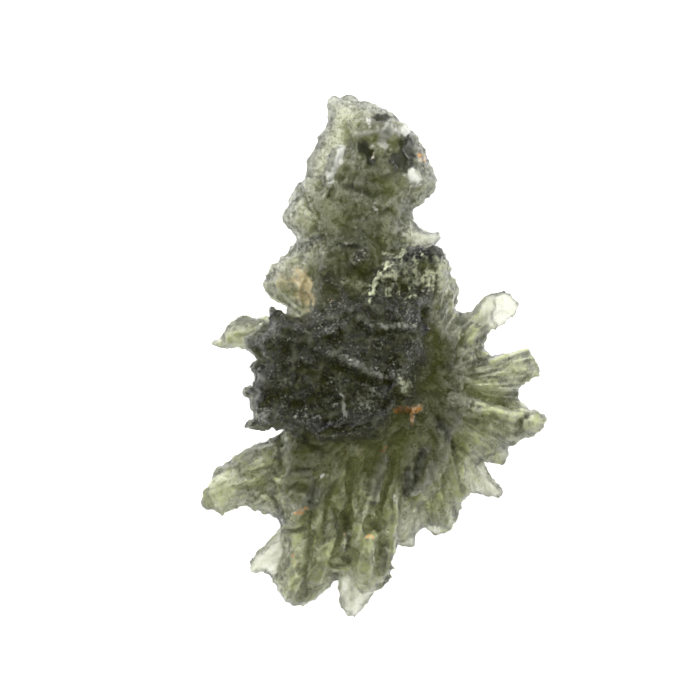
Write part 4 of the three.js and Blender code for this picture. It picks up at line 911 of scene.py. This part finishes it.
# Frost of broken glass, and on the lump painted sheen, weaker there.
frost_and_sheen = times(broken_edged("frost_and_sheen", specks, FROST_AND_SHEEN_EDGE), blend(on_lump, 1.0, FROST_AND_SHEEN_ON_LUMP))
ochre = broken_edged("ochre", blots, OCHRE_EDGE)
rust = broken_edged("rust", specks, RUST_EDGE)
rust_tint = tint(ramp(blots, *PEACH_BLOTS), RUST_TINT, PEACH_TINT)

# Colours laid in turn: dark grain, painted shade in troughs, the lump's dark glass, crests paler as
# wear and painted highlight, pale grains, painted shade, strands, frost with painted sheen on the
# lump, ochre and rust.
colour = (1.0, 1.0, 1.0)
for cover, over in (
    (dark, GRAIN_TINT), (trough_shade, TROUGH_SHADE_TINT), (on_lump, LUMP_TINT), (crest, crest_tint),
    (pale, crest_tint), (painted_shade, SHADE_TINT), (strands, STRAND_TINT), (frost_and_sheen, FROST_AND_SHEEN_TINT),
    (ochre, OCHRE_TINT), (rust, rust_tint),
):
    colour = tint(cover, colour, over)
links.new(colour, shader.inputs["Base Color"])

clear = 1.0
for cover, clouded in (
    (crest, CREST_CLOUDED), (pale, 1.0), (frost_and_sheen, FROST_AND_SHEEN_CLOUDED), (strands, STRAND_CLOUDED),
    (ochre, OCHRE_CLOUDED), (rust, RUST_CLOUDED),
):
    clear = math_of("SUBTRACT", clear, times(cover, clouded))
links.new(math_of("MAXIMUM", clear, 0.0), shader.inputs["Transmission Weight"])

# The skin's finest relief, duller in some places than in others, and over it the wet shine of a
# clear skin whose own small facets make the sparkle. The grit is finer on the lump than off it.
ROUGH_LEAST = 0.28
ROUGH_MOST = 0.42
FIBRES = (1.5, 4)
FIBRES_DEEP = 0.09
CRUMPLE = (1.6, 5)
CRUMPLE_DEEP = 0.13
CRUMPLE_ON_LUMP = 0.4
GRIT = (5.0, 7.5)
GRIT_DETAIL = (3, 0.65)
GRIT_DEEP = 0.08
FACETS = (5.5, 3, 0.6)
FACETS_DEEP = 0.16
COAT_ON_LUMP = 0.7

links.new(blend(mottle, ROUGH_LEAST, ROUGH_MOST), shader.inputs["Roughness"])
grit = noise_at(in_mm, blend(on_lump, *GRIT), *GRIT_DETAIL)
crumple_strength = blend(on_lump, 1.0, CRUMPLE_ON_LUMP)
skin = bump(grit, GRIT_DEEP)
skin = bump(ridges_at(in_mm, *CRUMPLE), CRUMPLE_DEEP, crumple_strength, Normal=skin)
skin = bump(ridges_at(flow, *FIBRES), FIBRES_DEEP, Normal=skin)
links.new(skin, shader.inputs["Normal"])
sparkle = bump(noise_at(in_mm, *FACETS), FACETS_DEEP, Normal=skin)
links.new(sparkle, shader.inputs["Coat Normal"])
links.new(blend(on_lump, 1.0, COAT_ON_LUMP), shader.inputs["Coat Weight"])
stone.data.materials.clear()
stone.data.materials.append(glass)

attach(stone, "root")
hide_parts("moldavite")


# How light is followed
# It turns many times between the stone's two skins before it comes out, so it is followed for
# long, and what noise is left in the rough glass is cleaned up.
scene = bpy.context.scene
scene.view_settings.view_transform = "Standard"
scene.cycles.max_bounces = 32
scene.cycles.transmission_bounces = 32
scene.cycles.glossy_bounces = 8
scene.cycles.diffuse_bounces = 3
scene.cycles.sample_clamp_indirect = 4
scene.cycles.use_denoising = True
